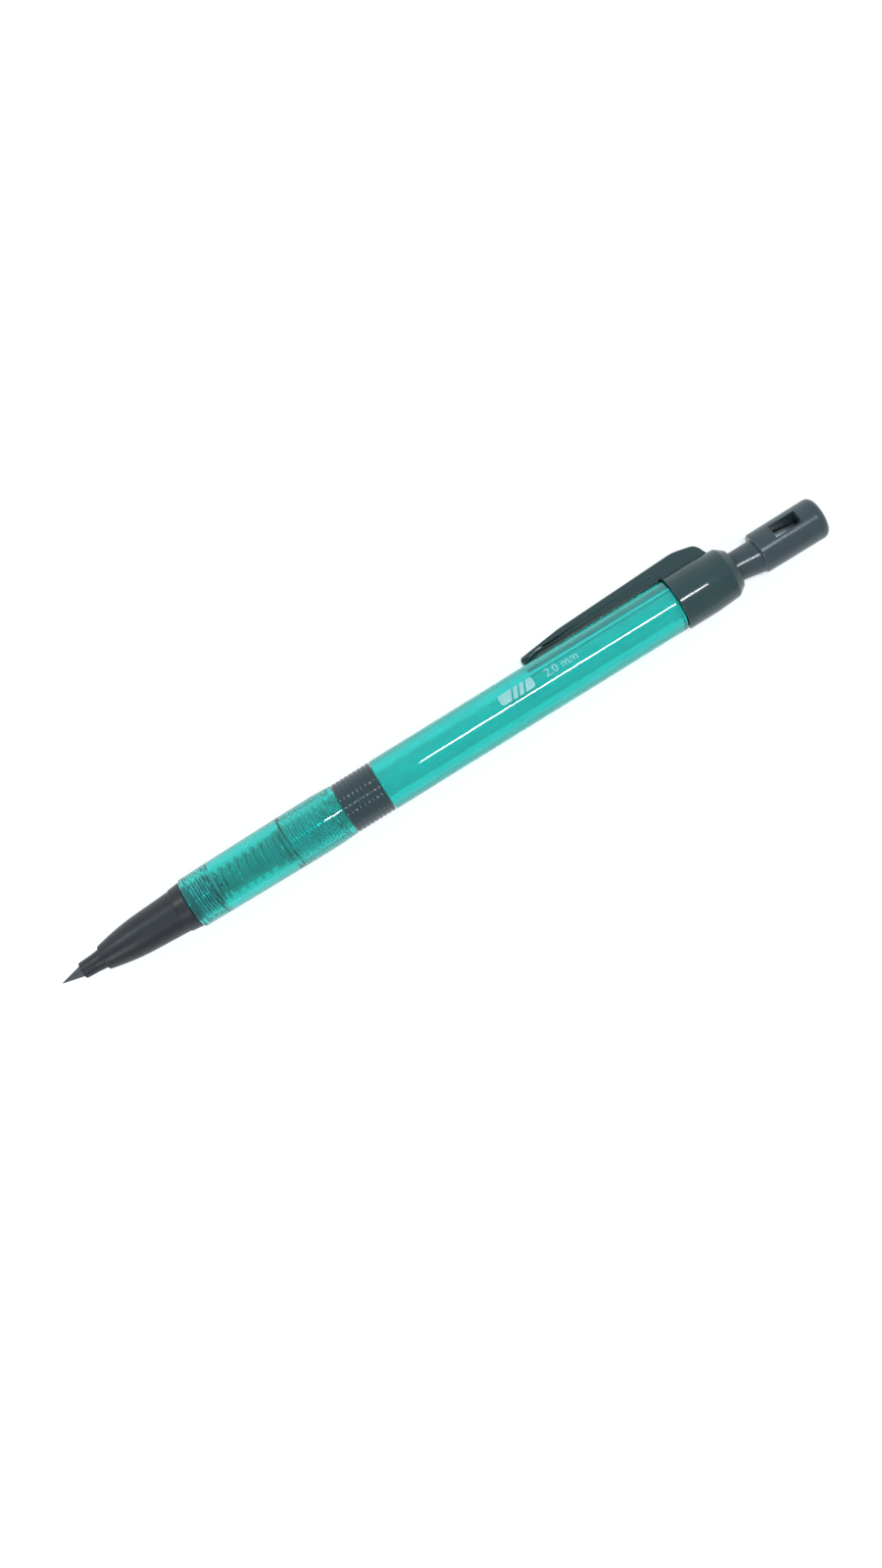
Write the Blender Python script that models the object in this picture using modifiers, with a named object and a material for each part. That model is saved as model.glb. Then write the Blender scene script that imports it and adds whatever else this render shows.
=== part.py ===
"""Lead holder for 2 mm leads: sprung clutch, screwed body, clip cap and a push button that is a sharpener.

Metres, +Z up. The holder lies along X on the plane z = 0, with its point towards -X, resting on its
collar and on the edge of its clip. A station is a distance along the axis from the point of the lead.
"""

import math

import bmesh
import bpy
from mathutils import Matrix, Vector

# Lengths along the axis, from the point of the lead to the end of the button
LEAD_CONE_LENGTH = 0.0039
SLEEVE_LENGTH = 0.0040
OGIVE_LENGTH = 0.0075
NOSE_TAPER_LENGTH = 0.0070
NOSE_BAND_LENGTH = 0.0022
GRIP_LENGTH = 0.0293
RING_LENGTH = 0.0072
BARREL_LENGTH = 0.0560
COLLAR_LENGTH = 0.0112
NECK_LENGTH = 0.0043
CAP_LENGTH = 0.0122

# Lengths of what lies inside
LEAD_LENGTH = 0.110
RETAINER_SETBACK = 0.0011
RETAINER_LENGTH = 0.0020
JAW_HEAD_LENGTH = 0.0015
JAW_TAPER_LENGTH = 0.0027
JAW_SHANK_LENGTH = 0.0166
JAW_SLIT_LENGTH = 0.0135
JAW_SLIT_WIDTH = 0.00035
CLUTCH_RING_LENGTH = 0.0020
NOSE_STUB_LENGTH = 0.0045
SPRING_LENGTH = 0.0125
SEAT_FLANGE_LENGTH = 0.0008
SEAT_SLEEVE_LENGTH = 0.0102
SEAT_TAIL_LENGTH = 0.0050
REAR_SPIGOT_LENGTH = 0.0080
BUTTON_INSET = 0.0014
PLUG_LENGTH = 0.0080
PRESS_TRAVEL = 0.0025

# Outer radii
LEAD_RADIUS = 0.0010
LEAD_POINT_RADIUS = 0.00006
SLEEVE_FRONT_RADIUS = 0.00144
SLEEVE_REAR_RADIUS = 0.00176
OGIVE_FRONT_RADIUS = 0.00215
OGIVE_REAR_RADIUS = 0.00333
OGIVE_BULGE = 0.00015
SHOULDER_RISE = 0.00010
NOSE_REAR_RADIUS = 0.00374
BAND_FRONT_RADIUS = 0.00390
BAND_REAR_RADIUS = 0.00410
GRIP_FRONT_RADIUS = 0.00440
GRIP_CROWN_RADIUS = 0.00464
GRIP_REAR_RADIUS = 0.00447
GRIP_REAR_TAPER = 0.0034
GRIP_CROWN_SETBACK = 0.0075
GRIP_EDGE_LENGTH = 0.00045
GRIP_BULGE = 0.00004
RING_RADIUS = 0.00448
BARREL_RADIUS = 0.00450
COLLAR_STEP = 0.00025
COLLAR_PLAIN_LENGTH = 0.0056
COLLAR_FACE_LENGTH = 0.0014
COLLAR_REAR_DROP = 0.00029
NECK_RADIUS = 0.0026
CAP_FRONT_RADIUS = 0.00354
CAP_REAR_RADIUS = 0.00362

# Walls and steps of the pieces inside
JAW_WALL = 0.00050
JAW_HEAD_STEP = 0.00050
CLUTCH_RING_STEP = 0.00015
RETAINER_WALL = 0.00060
SPRING_WIRE = 0.00050
FLANGE_LIP = 0.00015
SEAT_TAIL_WALL = 0.00045
LEAD_TUBE_WALL = 0.00055
REGISTER_STEP = 0.00030
SPIGOT_WALL = 0.00080

# Clearances
LEAD_CLEARANCE = 0.00005
LEAD_ROOM = 0.00015
SLIDE_CLEARANCE = 0.00010
SEAT_CLEARANCE = 0.00015
FIT_CLEARANCE = 0.00005
THREAD_CLEARANCE = 0.00010
SPRING_CLEARANCE = 0.00020
FLANGE_CLEARANCE = 0.00025
TUBE_PLAY = 0.00040
FACE_GAP = 0.00010
STROKE_ROOM = 0.0006
RETAINER_ROOM = 0.0011

# Spring
OPEN_TURNS = 6.5
FRONT_CLOSED_TURNS = 1.25
REAR_CLOSED_TURNS = 2.5
CLOSED_PITCH = 0.00056
POINTS_PER_TURN = 16

# Ribs of the ring
RIB_PITCH = 0.0008
RIB_DEPTH = 0.00012
RIB_CREST_START = 0.30
RIB_CREST_END = 0.70

# Clip
CLIP_ROLL_DEG = 112.5
CLIP_LENGTH = 0.0348
CLIP_REAR_SETBACK = 0.0024
CLIP_WIDTH = 0.0040
CLIP_TIP_WIDTH = 0.0034
CLIP_GAP = 0.0003
CLIP_TIP_HEIGHT = 0.00135
CLIP_KNEE_LENGTH = 0.0080
CLIP_KNEE_HEIGHT = 0.0023
CLIP_CREST_SETBACK = 0.0046
CLIP_CREST_HEIGHT = 0.0031
CLIP_SHOULDER_SETBACK = 0.0008
CLIP_SHOULDER_HEIGHT = 0.0021
CLIP_ROOT_GAP = 0.0007
CLIP_BEAD_LENGTH = 0.0034
CLIP_ROOT_DEPTH = 0.00025
CLIP_EDGE_RADIUS = 0.00035
CLIP_TIP_ROUND = 0.0012
CLIP_KNEE_ROUND = 0.0120
CLIP_CREST_ROUND = 0.0060
CLIP_SHOULDER_ROUND = 0.0018
CLIP_BEAD_ROUND = 0.0020
CLIP_THROAT_ROUND = 0.0005

# Flare on one side of the button's neck
FLARE_ROLL_DEG = -90.0
FLARE_SETBACK = 0.0005
FLARE_RADIUS = 0.0030
FLARE_OFFSET = 0.0004
MOUTH_RADIUS = 0.0032
MOUTH_DEPTH = 0.0020

# Sharpener slot in the cap, with the blade along its cone
SLOT_ROLL_DEG = 30.0
SLOT_LENGTH = 0.0048
SLOT_WIDTH = 0.0026
SLOT_SETBACK = 0.0035
SLOT_BITE = 0.00025
SHARPENER_CONE_LENGTH = 0.0042
SHARPENER_POINT_RADIUS = 0.00015
BLADE_THICKNESS = 0.00045
BLADE_WIDTH = 0.0012
BLADE_EDGE_OFFSET = -0.0001
BLADE_GAP = 0.00006

# Rounded edges
SMALL_ROUND = 0.00015
BAND_ROUND = 0.00008
SLEEVE_ROUND = 0.0003
SHOULDER_ROUND = 0.0004
COLLAR_ROUND = 0.0007
CAP_FRONT_ROUND = 0.0009
CAP_END_ROUND = 0.0013

SEGMENTS = 32
ROUND_STEPS = 3

# Stations of the joints between the outer pieces
SLEEVE_FRONT = LEAD_CONE_LENGTH
OGIVE_FRONT = SLEEVE_FRONT + SLEEVE_LENGTH
OGIVE_REAR = OGIVE_FRONT + OGIVE_LENGTH
BAND_FRONT = OGIVE_REAR + NOSE_TAPER_LENGTH
GRIP_FRONT = BAND_FRONT + NOSE_BAND_LENGTH
RING_FRONT = GRIP_FRONT + GRIP_LENGTH
BARREL_FRONT = RING_FRONT + RING_LENGTH
COLLAR_FRONT = BARREL_FRONT + BARREL_LENGTH
COLLAR_REAR = COLLAR_FRONT + COLLAR_LENGTH
CAP_FRONT = COLLAR_REAR + NECK_LENGTH
CAP_REAR = CAP_FRONT + CAP_LENGTH

# Stations inside
RETAINER_FRONT = OGIVE_FRONT + RETAINER_SETBACK
RETAINER_REAR = RETAINER_FRONT + RETAINER_LENGTH
JAW_FRONT = RETAINER_REAR + PRESS_TRAVEL + RETAINER_ROOM
JAW_TAPER_FRONT = JAW_FRONT + JAW_HEAD_LENGTH
JAW_TAPER_REAR = JAW_TAPER_FRONT + JAW_TAPER_LENGTH
JAW_REAR = JAW_TAPER_REAR + JAW_SHANK_LENGTH
CLUTCH_RING_REAR = JAW_TAPER_REAR
CLUTCH_RING_FRONT = CLUTCH_RING_REAR - CLUTCH_RING_LENGTH
NOSE_REAR = GRIP_FRONT + NOSE_STUB_LENGTH
FLANGE_FRONT = NOSE_REAR + SPRING_LENGTH + 2 * FACE_GAP
FLANGE_REAR = FLANGE_FRONT + SEAT_FLANGE_LENGTH
SEAT_FRONT = FLANGE_FRONT - SEAT_SLEEVE_LENGTH
TUBE_FRONT = FLANGE_REAR + FACE_GAP
SPIGOT_FRONT = FLANGE_REAR + 3 * FACE_GAP
NECK_FRONT = COLLAR_REAR - BUTTON_INSET
TUBE_REAR = NECK_FRONT - FACE_GAP
PLUG_FRONT = NECK_FRONT - PLUG_LENGTH
REAR_SPIGOT_REAR = COLLAR_FRONT + REAR_SPIGOT_LENGTH
WELL_FRONT = NECK_FRONT - PRESS_TRAVEL - STROKE_ROOM
SLOT_FRONT = CAP_FRONT + SLOT_SETBACK
SLOT_REAR = SLOT_FRONT + SLOT_LENGTH
CLIP_FRONT = COLLAR_REAR - CLIP_REAR_SETBACK - CLIP_LENGTH

# Radii that follow from the lead outwards
JAW_BORE = LEAD_RADIUS + LEAD_CLEARANCE
LEAD_BORE = LEAD_RADIUS + LEAD_ROOM
JAW_SHANK_RADIUS = JAW_BORE + JAW_WALL
JAW_HEAD_RADIUS = JAW_SHANK_RADIUS + JAW_HEAD_STEP
NOSE_FRONT_BORE = JAW_HEAD_RADIUS + SLIDE_CLEARANCE
CLUTCH_RING_RADIUS = NOSE_FRONT_BORE + CLUTCH_RING_STEP
NOSE_BORE = CLUTCH_RING_RADIUS + FIT_CLEARANCE
RETAINER_RADIUS = LEAD_BORE + RETAINER_WALL
SEAT_BORE = JAW_SHANK_RADIUS + FIT_CLEARANCE
SEAT_RADIUS = NOSE_BORE - SEAT_CLEARANCE
SPRING_RADIUS = SEAT_RADIUS + SPRING_CLEARANCE + SPRING_WIRE / 2
FLANGE_RADIUS = SPRING_RADIUS + SPRING_WIRE / 2 + FLANGE_LIP
GRIP_BORE = FLANGE_RADIUS + FLANGE_CLEARANCE
THREAD_RADIUS = GRIP_BORE - THREAD_CLEARANCE
REGISTER_RADIUS = THREAD_RADIUS + REGISTER_STEP
RING_BORE = REGISTER_RADIUS + THREAD_CLEARANCE
SEAT_TAIL_RADIUS = LEAD_BORE + SEAT_TAIL_WALL
TUBE_BORE = SEAT_TAIL_RADIUS + FIT_CLEARANCE
TUBE_RADIUS = TUBE_BORE + LEAD_TUBE_WALL
PLUG_RADIUS = TUBE_BORE - FIT_CLEARANCE
BARREL_BORE = TUBE_RADIUS + TUBE_PLAY
WELL_BORE = max(NECK_RADIUS, BARREL_BORE) + 2 * SLIDE_CLEARANCE
REAR_SPIGOT_RADIUS = WELL_BORE + SPIGOT_WALL
COLLAR_BORE = REAR_SPIGOT_RADIUS + THREAD_CLEARANCE
COLLAR_RADIUS = BARREL_RADIUS + COLLAR_STEP
COLLAR_REAR_RADIUS = COLLAR_RADIUS - COLLAR_REAR_DROP
MOUTH_BORE = NECK_RADIUS + SLIDE_CLEARANCE

# Where the axis lies: the collar touches the ground, and the box round the whole holder is centred on Y
AXIS_HEIGHT = COLLAR_RADIUS
CLIP_ROLL = math.radians(CLIP_ROLL_DEG)
CLIP_CREST = BARREL_RADIUS + CLIP_CREST_HEIGHT
CLIP_REACH = CLIP_CREST * math.sin(CLIP_ROLL) - CLIP_WIDTH / 2 * math.cos(CLIP_ROLL)
AXIS_Y = (COLLAR_RADIUS - CLIP_REACH) / 2


def clear_scene():
    for item in list(bpy.data.objects):
        bpy.data.objects.remove(item, do_unlink=True)


def make_collection(name):
    collection = bpy.data.collections.new(name)
    bpy.context.scene.collection.children.link(collection)
    return collection


def plain_material(name, colour, roughness, metallic=0.0):
    material = bpy.data.materials.new(name)
    material.use_nodes = True
    shader = material.node_tree.nodes["Principled BSDF"]
    shader.inputs["Base Color"].default_value = (*colour, 1.0)
    shader.inputs["Roughness"].default_value = roughness
    shader.inputs["Metallic"].default_value = metallic
    material.diffuse_color = (*colour, 1.0)
    return material


def black_plastic():
    return plain_material("black_plastic", (0.030, 0.036, 0.042), 0.35)


def teal_plastic():
    return plain_material("teal_plastic", (0.02, 0.45, 0.43), 0.15)


def clear_plastic():
    return plain_material("clear_plastic", (0.62, 0.80, 0.78), 0.20)


def brass():
    return plain_material("brass", (0.58, 0.42, 0.16), 0.30, 1.0)


def spring_steel():
    return plain_material("spring_steel", (0.56, 0.57, 0.58), 0.25, 1.0)


def blade_steel():
    return plain_material("blade_steel", (0.50, 0.51, 0.53), 0.22, 1.0)


def graphite():
    return plain_material("graphite", (0.12, 0.12, 0.13), 0.45, 0.3)


def rubber():
    return plain_material("rubber", (0.02, 0.02, 0.02), 0.80)


def roll_direction(degrees):
    """Direction round the axis, from straight up towards +Y, in the axis frame."""
    angle = math.radians(degrees)
    return Vector((-math.cos(angle), math.sin(angle), 0.0))


def rounded(corners, steps=ROUND_STEPS):
    """Points along corners (station, radius, round), with an arc at each corner that has a round."""
    points = []
    for i, (station, radius, size) in enumerate(corners):
        here = Vector((station, radius))
        if size <= 0 or i in (0, len(corners) - 1):
            points.append(here)
            continue
        before = Vector(corners[i - 1][:2]) - here
        after = Vector(corners[i + 1][:2]) - here
        half = before.angle(after) / 2
        reach = min(size / math.tan(half), 0.45 * before.length, 0.45 * after.length)
        size = reach * math.tan(half)
        start = here + before.normalized() * reach
        end = here + after.normalized() * reach
        centre = here + (before.normalized() + after.normalized()).normalized() * size / math.sin(half)
        turn = (start - centre).angle_signed(end - centre)
        for k in range(steps + 1):
            arm = (start - centre).copy()
            arm.rotate(Matrix.Rotation(-turn * k / steps, 2))
            points.append(centre + arm)
    return points


def bulged(start, end, bulge, steps):
    """Points on the arc between two ends whose middle stands bulge above the chord, without the ends."""
    start = Vector(start)
    end = Vector(end)
    out = Vector((start.y - end.y, end.x - start.x)).normalized()
    points = []
    for k in range(1, steps):
        t = k / steps
        points.append(start.lerp(end, t) + out * 4 * bulge * t * (1 - t))
    return points


def turned(name, outside, bore, material, parent, collection):
    """Turned piece. Outside and bore both run from the front to the rear, as (station, radius)."""
    chain = list(reversed(outside)) + list(bore)
    mesh = bpy.data.meshes.new(name)
    shape = bmesh.new()
    verts = [shape.verts.new((point[1], 0.0, point[0])) for point in chain]
    for first, second in zip(verts, verts[1:]):
        shape.edges.new((first, second))
    if chain[0][1] > 0 and chain[-1][1] > 0:
        shape.edges.new((verts[-1], verts[0]))
    shape.to_mesh(mesh)
    shape.free()
    piece = bpy.data.objects.new(name, mesh)
    collection.objects.link(piece)
    mesh.materials.append(material)
    screw = piece.modifiers.new("turn", "SCREW")
    screw.axis = "Z"
    screw.angle = 2 * math.pi
    screw.steps = SEGMENTS
    screw.render_steps = SEGMENTS
    screw.use_merge_vertices = True
    screw.merge_threshold = 0.000001
    screw.use_smooth_shade = True
    piece.parent = parent
    return piece


def as_solid(piece, collection):
    """The evaluated shape of a piece as a plain mesh object, which replaces it."""
    bpy.context.view_layer.update()
    graph = bpy.context.evaluated_depsgraph_get()
    mesh = bpy.data.meshes.new_from_object(piece.evaluated_get(graph))
    shape = bmesh.new()
    shape.from_mesh(mesh)
    bmesh.ops.remove_doubles(shape, verts=shape.verts, dist=0.000001)
    shape.to_mesh(mesh)
    shape.free()
    name = piece.name
    parent = piece.parent
    place = piece.matrix_world.copy()
    bpy.data.objects.remove(piece, do_unlink=True)
    solid = bpy.data.objects.new(name, mesh)
    collection.objects.link(solid)
    solid.parent = parent
    solid.matrix_world = place
    return solid


def as_cutter(piece):
    piece.hide_render = True
    piece.display_type = "WIRE"
    return piece


def boolean(piece, other, operation):
    change = piece.modifiers.new(other.name, "BOOLEAN")
    change.operation = operation
    change.object = other
    change.solver = "EXACT"


def make_axis(name, parent=None):
    """Empty on the holder's axis: its Z runs from the point to the button, its X points down."""
    axis = bpy.data.objects.new(name, None)
    bpy.context.scene.collection.objects.link(axis)
    if parent:
        axis.parent = parent
    else:
        axis.location = (-CAP_REAR / 2, AXIS_Y, AXIS_HEIGHT)
        axis.rotation_euler = (0.0, math.pi / 2, 0.0)
    return axis


def make_lead(axis, collection):
    outside = [
        (0.0, 0.0),
        (0.0, LEAD_POINT_RADIUS),
        (LEAD_CONE_LENGTH, LEAD_RADIUS),
        (LEAD_LENGTH, LEAD_RADIUS),
        (LEAD_LENGTH, 0.0),
    ]
    return turned("lead", outside, [], graphite(), axis, collection)


def nose_outside():
    sleeve = rounded(
        [
            (SLEEVE_FRONT, LEAD_BORE, 0),
            (SLEEVE_FRONT, SLEEVE_FRONT_RADIUS, SLEEVE_ROUND),
            (OGIVE_FRONT - SHOULDER_ROUND, SLEEVE_REAR_RADIUS, 0),
        ]
    )
    shoulder = rounded(
        [
            (OGIVE_FRONT, SLEEVE_REAR_RADIUS, 0),
            (OGIVE_FRONT, OGIVE_FRONT_RADIUS, SMALL_ROUND),
            (OGIVE_FRONT + SHOULDER_ROUND, OGIVE_FRONT_RADIUS + SHOULDER_RISE, 0),
        ]
    )
    ogive_start = tuple(shoulder[-1])
    ogive_end = (OGIVE_REAR, OGIVE_REAR_RADIUS)
    band = rounded(
        [
            (BAND_FRONT, NOSE_REAR_RADIUS, 0),
            (BAND_FRONT, BAND_FRONT_RADIUS, BAND_ROUND),
            (GRIP_FRONT, BAND_REAR_RADIUS, 0),
        ]
    )
    stub = [(GRIP_FRONT, THREAD_RADIUS), (NOSE_REAR, THREAD_RADIUS)]
    ogive = [*bulged(ogive_start, ogive_end, OGIVE_BULGE, 5), ogive_end]
    return [*sleeve[1:], *shoulder, *ogive, *band, *stub]


def make_nose_cone(axis, collection):
    bore = [
        (SLEEVE_FRONT, LEAD_BORE),
        (RETAINER_FRONT - FACE_GAP, LEAD_BORE),
        (RETAINER_FRONT - FACE_GAP, RETAINER_RADIUS + FIT_CLEARANCE),
        (RETAINER_REAR + FACE_GAP, RETAINER_RADIUS + FIT_CLEARANCE),
        (JAW_FRONT - PRESS_TRAVEL - STROKE_ROOM, NOSE_FRONT_BORE),
        (CLUTCH_RING_FRONT - FACE_GAP, NOSE_FRONT_BORE),
        (CLUTCH_RING_FRONT - FACE_GAP, NOSE_BORE),
        (NOSE_REAR, NOSE_BORE),
    ]
    return turned("nose_cone", nose_outside(), bore, black_plastic(), axis, collection)


def make_retainer(axis, collection):
    outside = [(RETAINER_FRONT, RETAINER_RADIUS), (RETAINER_REAR, RETAINER_RADIUS)]
    bore = [(RETAINER_FRONT, JAW_BORE), (RETAINER_REAR, JAW_BORE)]
    return turned("lead_retainer", outside, bore, rubber(), axis, collection)


def jaw_radius(station):
    """Outer radius of the closed jaws on their tapered part."""
    share = (station - JAW_TAPER_FRONT) / JAW_TAPER_LENGTH
    return JAW_HEAD_RADIUS + (JAW_SHANK_RADIUS - JAW_HEAD_RADIUS) * share


def make_clutch_ring(axis, collection):
    outside = [(CLUTCH_RING_FRONT, CLUTCH_RING_RADIUS), (CLUTCH_RING_REAR, CLUTCH_RING_RADIUS)]
    bore = [
        (station, jaw_radius(station) + SLIDE_CLEARANCE)
        for station in (CLUTCH_RING_FRONT, CLUTCH_RING_REAR)
    ]
    return turned("clutch_ring", outside, bore, brass(), axis, collection)


def make_jaws(axis, collection, cutters):
    outside = rounded(
        [
            (JAW_FRONT, JAW_BORE, 0),
            (JAW_FRONT, JAW_HEAD_RADIUS, SLEEVE_ROUND),
            (JAW_TAPER_FRONT, JAW_HEAD_RADIUS, 0),
            (JAW_TAPER_REAR, JAW_SHANK_RADIUS, 0),
            (JAW_REAR, JAW_SHANK_RADIUS, 0),
        ]
    )
    bore = [(JAW_FRONT, JAW_BORE), (JAW_REAR, JAW_BORE)]
    jaws = turned("clutch_jaws", outside[1:], bore, brass(), axis, collection)
    slit_reach = 2 * JAW_HEAD_RADIUS
    for number, degrees in enumerate((0, 120, 240)):
        shape = bmesh.new()
        bmesh.ops.create_cube(shape, size=1.0)
        bmesh.ops.scale(shape, vec=(slit_reach, JAW_SLIT_WIDTH, 2 * JAW_SLIT_LENGTH), verts=shape.verts)
        bmesh.ops.translate(shape, vec=(slit_reach / 2 + JAW_BORE / 2, 0, JAW_FRONT), verts=shape.verts)
        bmesh.ops.rotate(
            shape,
            cent=(0, 0, 0),
            matrix=Matrix.Rotation(math.radians(degrees), 3, "Z"),
            verts=shape.verts,
        )
        mesh = bpy.data.meshes.new(f"jaw_slit_{number}")
        shape.to_mesh(mesh)
        shape.free()
        slit = as_cutter(bpy.data.objects.new(f"jaw_slit_{number}", mesh))
        cutters.objects.link(slit)
        slit.parent = axis
        boolean(jaws, slit, "DIFFERENCE")
    return jaws


def make_spring_seat(axis, collection):
    outside = [
        (SEAT_FRONT, SEAT_RADIUS),
        (FLANGE_FRONT, SEAT_RADIUS),
        (FLANGE_FRONT, FLANGE_RADIUS),
        (FLANGE_REAR, FLANGE_RADIUS),
        (FLANGE_REAR, SEAT_TAIL_RADIUS),
        (FLANGE_REAR + SEAT_TAIL_LENGTH, SEAT_TAIL_RADIUS),
    ]
    bore = [
        (SEAT_FRONT, SEAT_BORE),
        (JAW_REAR + FACE_GAP, SEAT_BORE),
        (JAW_REAR + FACE_GAP, LEAD_BORE),
        (FLANGE_REAR + SEAT_TAIL_LENGTH, LEAD_BORE),
    ]
    return turned("spring_seat", outside, bore, brass(), axis, collection)


def make_spring(axis, collection):
    """Coil with closed turns at both ends, between the nose's stub and the flange."""
    front = NOSE_REAR + FACE_GAP + SPRING_WIRE / 2
    rear = front + SPRING_LENGTH - SPRING_WIRE
    closed_front = FRONT_CLOSED_TURNS * CLOSED_PITCH
    closed_rear = REAR_CLOSED_TURNS * CLOSED_PITCH
    open_pitch = (rear - front - closed_front - closed_rear) / OPEN_TURNS
    turns = FRONT_CLOSED_TURNS + OPEN_TURNS + REAR_CLOSED_TURNS
    count = round(turns * POINTS_PER_TURN)
    curve = bpy.data.curves.new("return_spring", "CURVE")
    curve.dimensions = "3D"
    curve.bevel_depth = SPRING_WIRE / 2
    curve.bevel_resolution = 2
    curve.use_fill_caps = True
    spline = curve.splines.new("POLY")
    spline.points.add(count)
    for number, point in enumerate(spline.points):
        turn = turns * number / count
        in_front = min(turn, FRONT_CLOSED_TURNS)
        in_open = min(max(turn - FRONT_CLOSED_TURNS, 0.0), OPEN_TURNS)
        in_rear = max(turn - FRONT_CLOSED_TURNS - OPEN_TURNS, 0.0)
        station = front + (in_front + in_rear) * CLOSED_PITCH + in_open * open_pitch
        angle = 2 * math.pi * turn
        point.co = (SPRING_RADIUS * math.cos(angle), SPRING_RADIUS * math.sin(angle), station, 1.0)
    wire = bpy.data.objects.new("return_spring", curve)
    collection.objects.link(wire)
    wire.parent = axis
    curve.materials.append(spring_steel())
    return wire


def make_grip(axis, collection):
    front = GRIP_FRONT + FACE_GAP
    rear = RING_FRONT
    taper = rear - GRIP_REAR_TAPER
    crown = (rear - GRIP_CROWN_SETBACK, GRIP_CROWN_RADIUS)
    edge = rounded(
        [
            (front, GRIP_BORE, 0),
            (front, GRIP_FRONT_RADIUS, SMALL_ROUND),
            (front + GRIP_EDGE_LENGTH, GRIP_FRONT_RADIUS, 0),
        ]
    )
    rise = bulged(tuple(edge[-1]), crown, GRIP_BULGE, 5)
    tail = rounded(
        [
            (taper, GRIP_CROWN_RADIUS, 0),
            (rear, GRIP_REAR_RADIUS, SMALL_ROUND),
            (rear, GRIP_BORE, 0),
        ]
    )
    outside = [*edge[1:], *rise, crown, *tail[:-1]]
    bore = [(front, GRIP_BORE), (rear, GRIP_BORE)]
    return turned("grip", outside, bore, teal_plastic(), axis, collection)


def make_grip_ring(axis, collection):
    """Ring with round ribs, each a shallow crest between two grooves."""
    front = RING_FRONT + FACE_GAP
    ribs = max(3, round((RING_LENGTH - FACE_GAP) / RIB_PITCH))
    pitch = (RING_LENGTH - FACE_GAP) / ribs
    outside = [(front, RING_RADIUS - RIB_DEPTH)]
    for number in range(ribs):
        start = front + number * pitch
        outside.append((start + RIB_CREST_START * pitch, RING_RADIUS))
        outside.append((start + RIB_CREST_END * pitch, RING_RADIUS))
        outside.append((start + pitch, RING_RADIUS - RIB_DEPTH))
    bore = [(front, RING_BORE), (front + ribs * pitch, RING_BORE)]
    return turned("grip_ring", outside, bore, black_plastic(), axis, collection)


def make_barrel(axis, collection):
    front = BARREL_FRONT + FACE_GAP
    outside = [
        (SPIGOT_FRONT, THREAD_RADIUS),
        (RING_FRONT + FACE_GAP, THREAD_RADIUS),
        (RING_FRONT + FACE_GAP, REGISTER_RADIUS),
        *rounded(
            [
                (front, REGISTER_RADIUS, 0),
                (front, BARREL_RADIUS, SMALL_ROUND),
                (COLLAR_FRONT, BARREL_RADIUS, SMALL_ROUND),
                (COLLAR_FRONT, REAR_SPIGOT_RADIUS, 0),
            ]
        ),
        (REAR_SPIGOT_REAR, REAR_SPIGOT_RADIUS),
    ]
    bore = [
        (SPIGOT_FRONT, BARREL_BORE),
        (WELL_FRONT, BARREL_BORE),
        (WELL_FRONT, WELL_BORE),
        (REAR_SPIGOT_REAR, WELL_BORE),
    ]
    return turned("barrel", outside, bore, teal_plastic(), axis, collection)


def make_lead_tube(axis, collection):
    outside = [(TUBE_FRONT, TUBE_RADIUS), (TUBE_REAR, TUBE_RADIUS)]
    bore = [(TUBE_FRONT, TUBE_BORE), (TUBE_REAR, TUBE_BORE)]
    return turned("lead_tube", outside, bore, clear_plastic(), axis, collection)


def clip_outline():
    """Side view of the clip: station, distance from the axis, round."""
    tip_bottom = BARREL_RADIUS + CLIP_GAP
    root_bottom = COLLAR_BORE + CLIP_ROOT_DEPTH
    root_rear = CLIP_FRONT + CLIP_LENGTH
    crest = root_rear - CLIP_CREST_SETBACK
    shoulder = root_rear - CLIP_SHOULDER_SETBACK
    root_front = COLLAR_FRONT + 2 * FACE_GAP
    return [
        (CLIP_FRONT, tip_bottom, CLIP_EDGE_RADIUS),
        (CLIP_FRONT, BARREL_RADIUS + CLIP_TIP_HEIGHT, CLIP_TIP_ROUND),
        (CLIP_FRONT + CLIP_KNEE_LENGTH, BARREL_RADIUS + CLIP_KNEE_HEIGHT, CLIP_KNEE_ROUND),
        (crest, CLIP_CREST, CLIP_CREST_ROUND),
        (shoulder, BARREL_RADIUS + CLIP_SHOULDER_HEIGHT, CLIP_SHOULDER_ROUND),
        (root_rear, root_bottom + CLIP_ROOT_DEPTH, 0),
        (root_rear, root_bottom, 0),
        (root_front, root_bottom, 0),
        (root_front, BARREL_RADIUS + CLIP_ROOT_GAP, CLIP_THROAT_ROUND),
        (CLIP_FRONT + CLIP_BEAD_LENGTH, tip_bottom + CLIP_GAP, CLIP_BEAD_ROUND),
        (CLIP_FRONT + CLIP_BEAD_LENGTH / 2, tip_bottom, CLIP_BEAD_ROUND),
    ]


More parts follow.
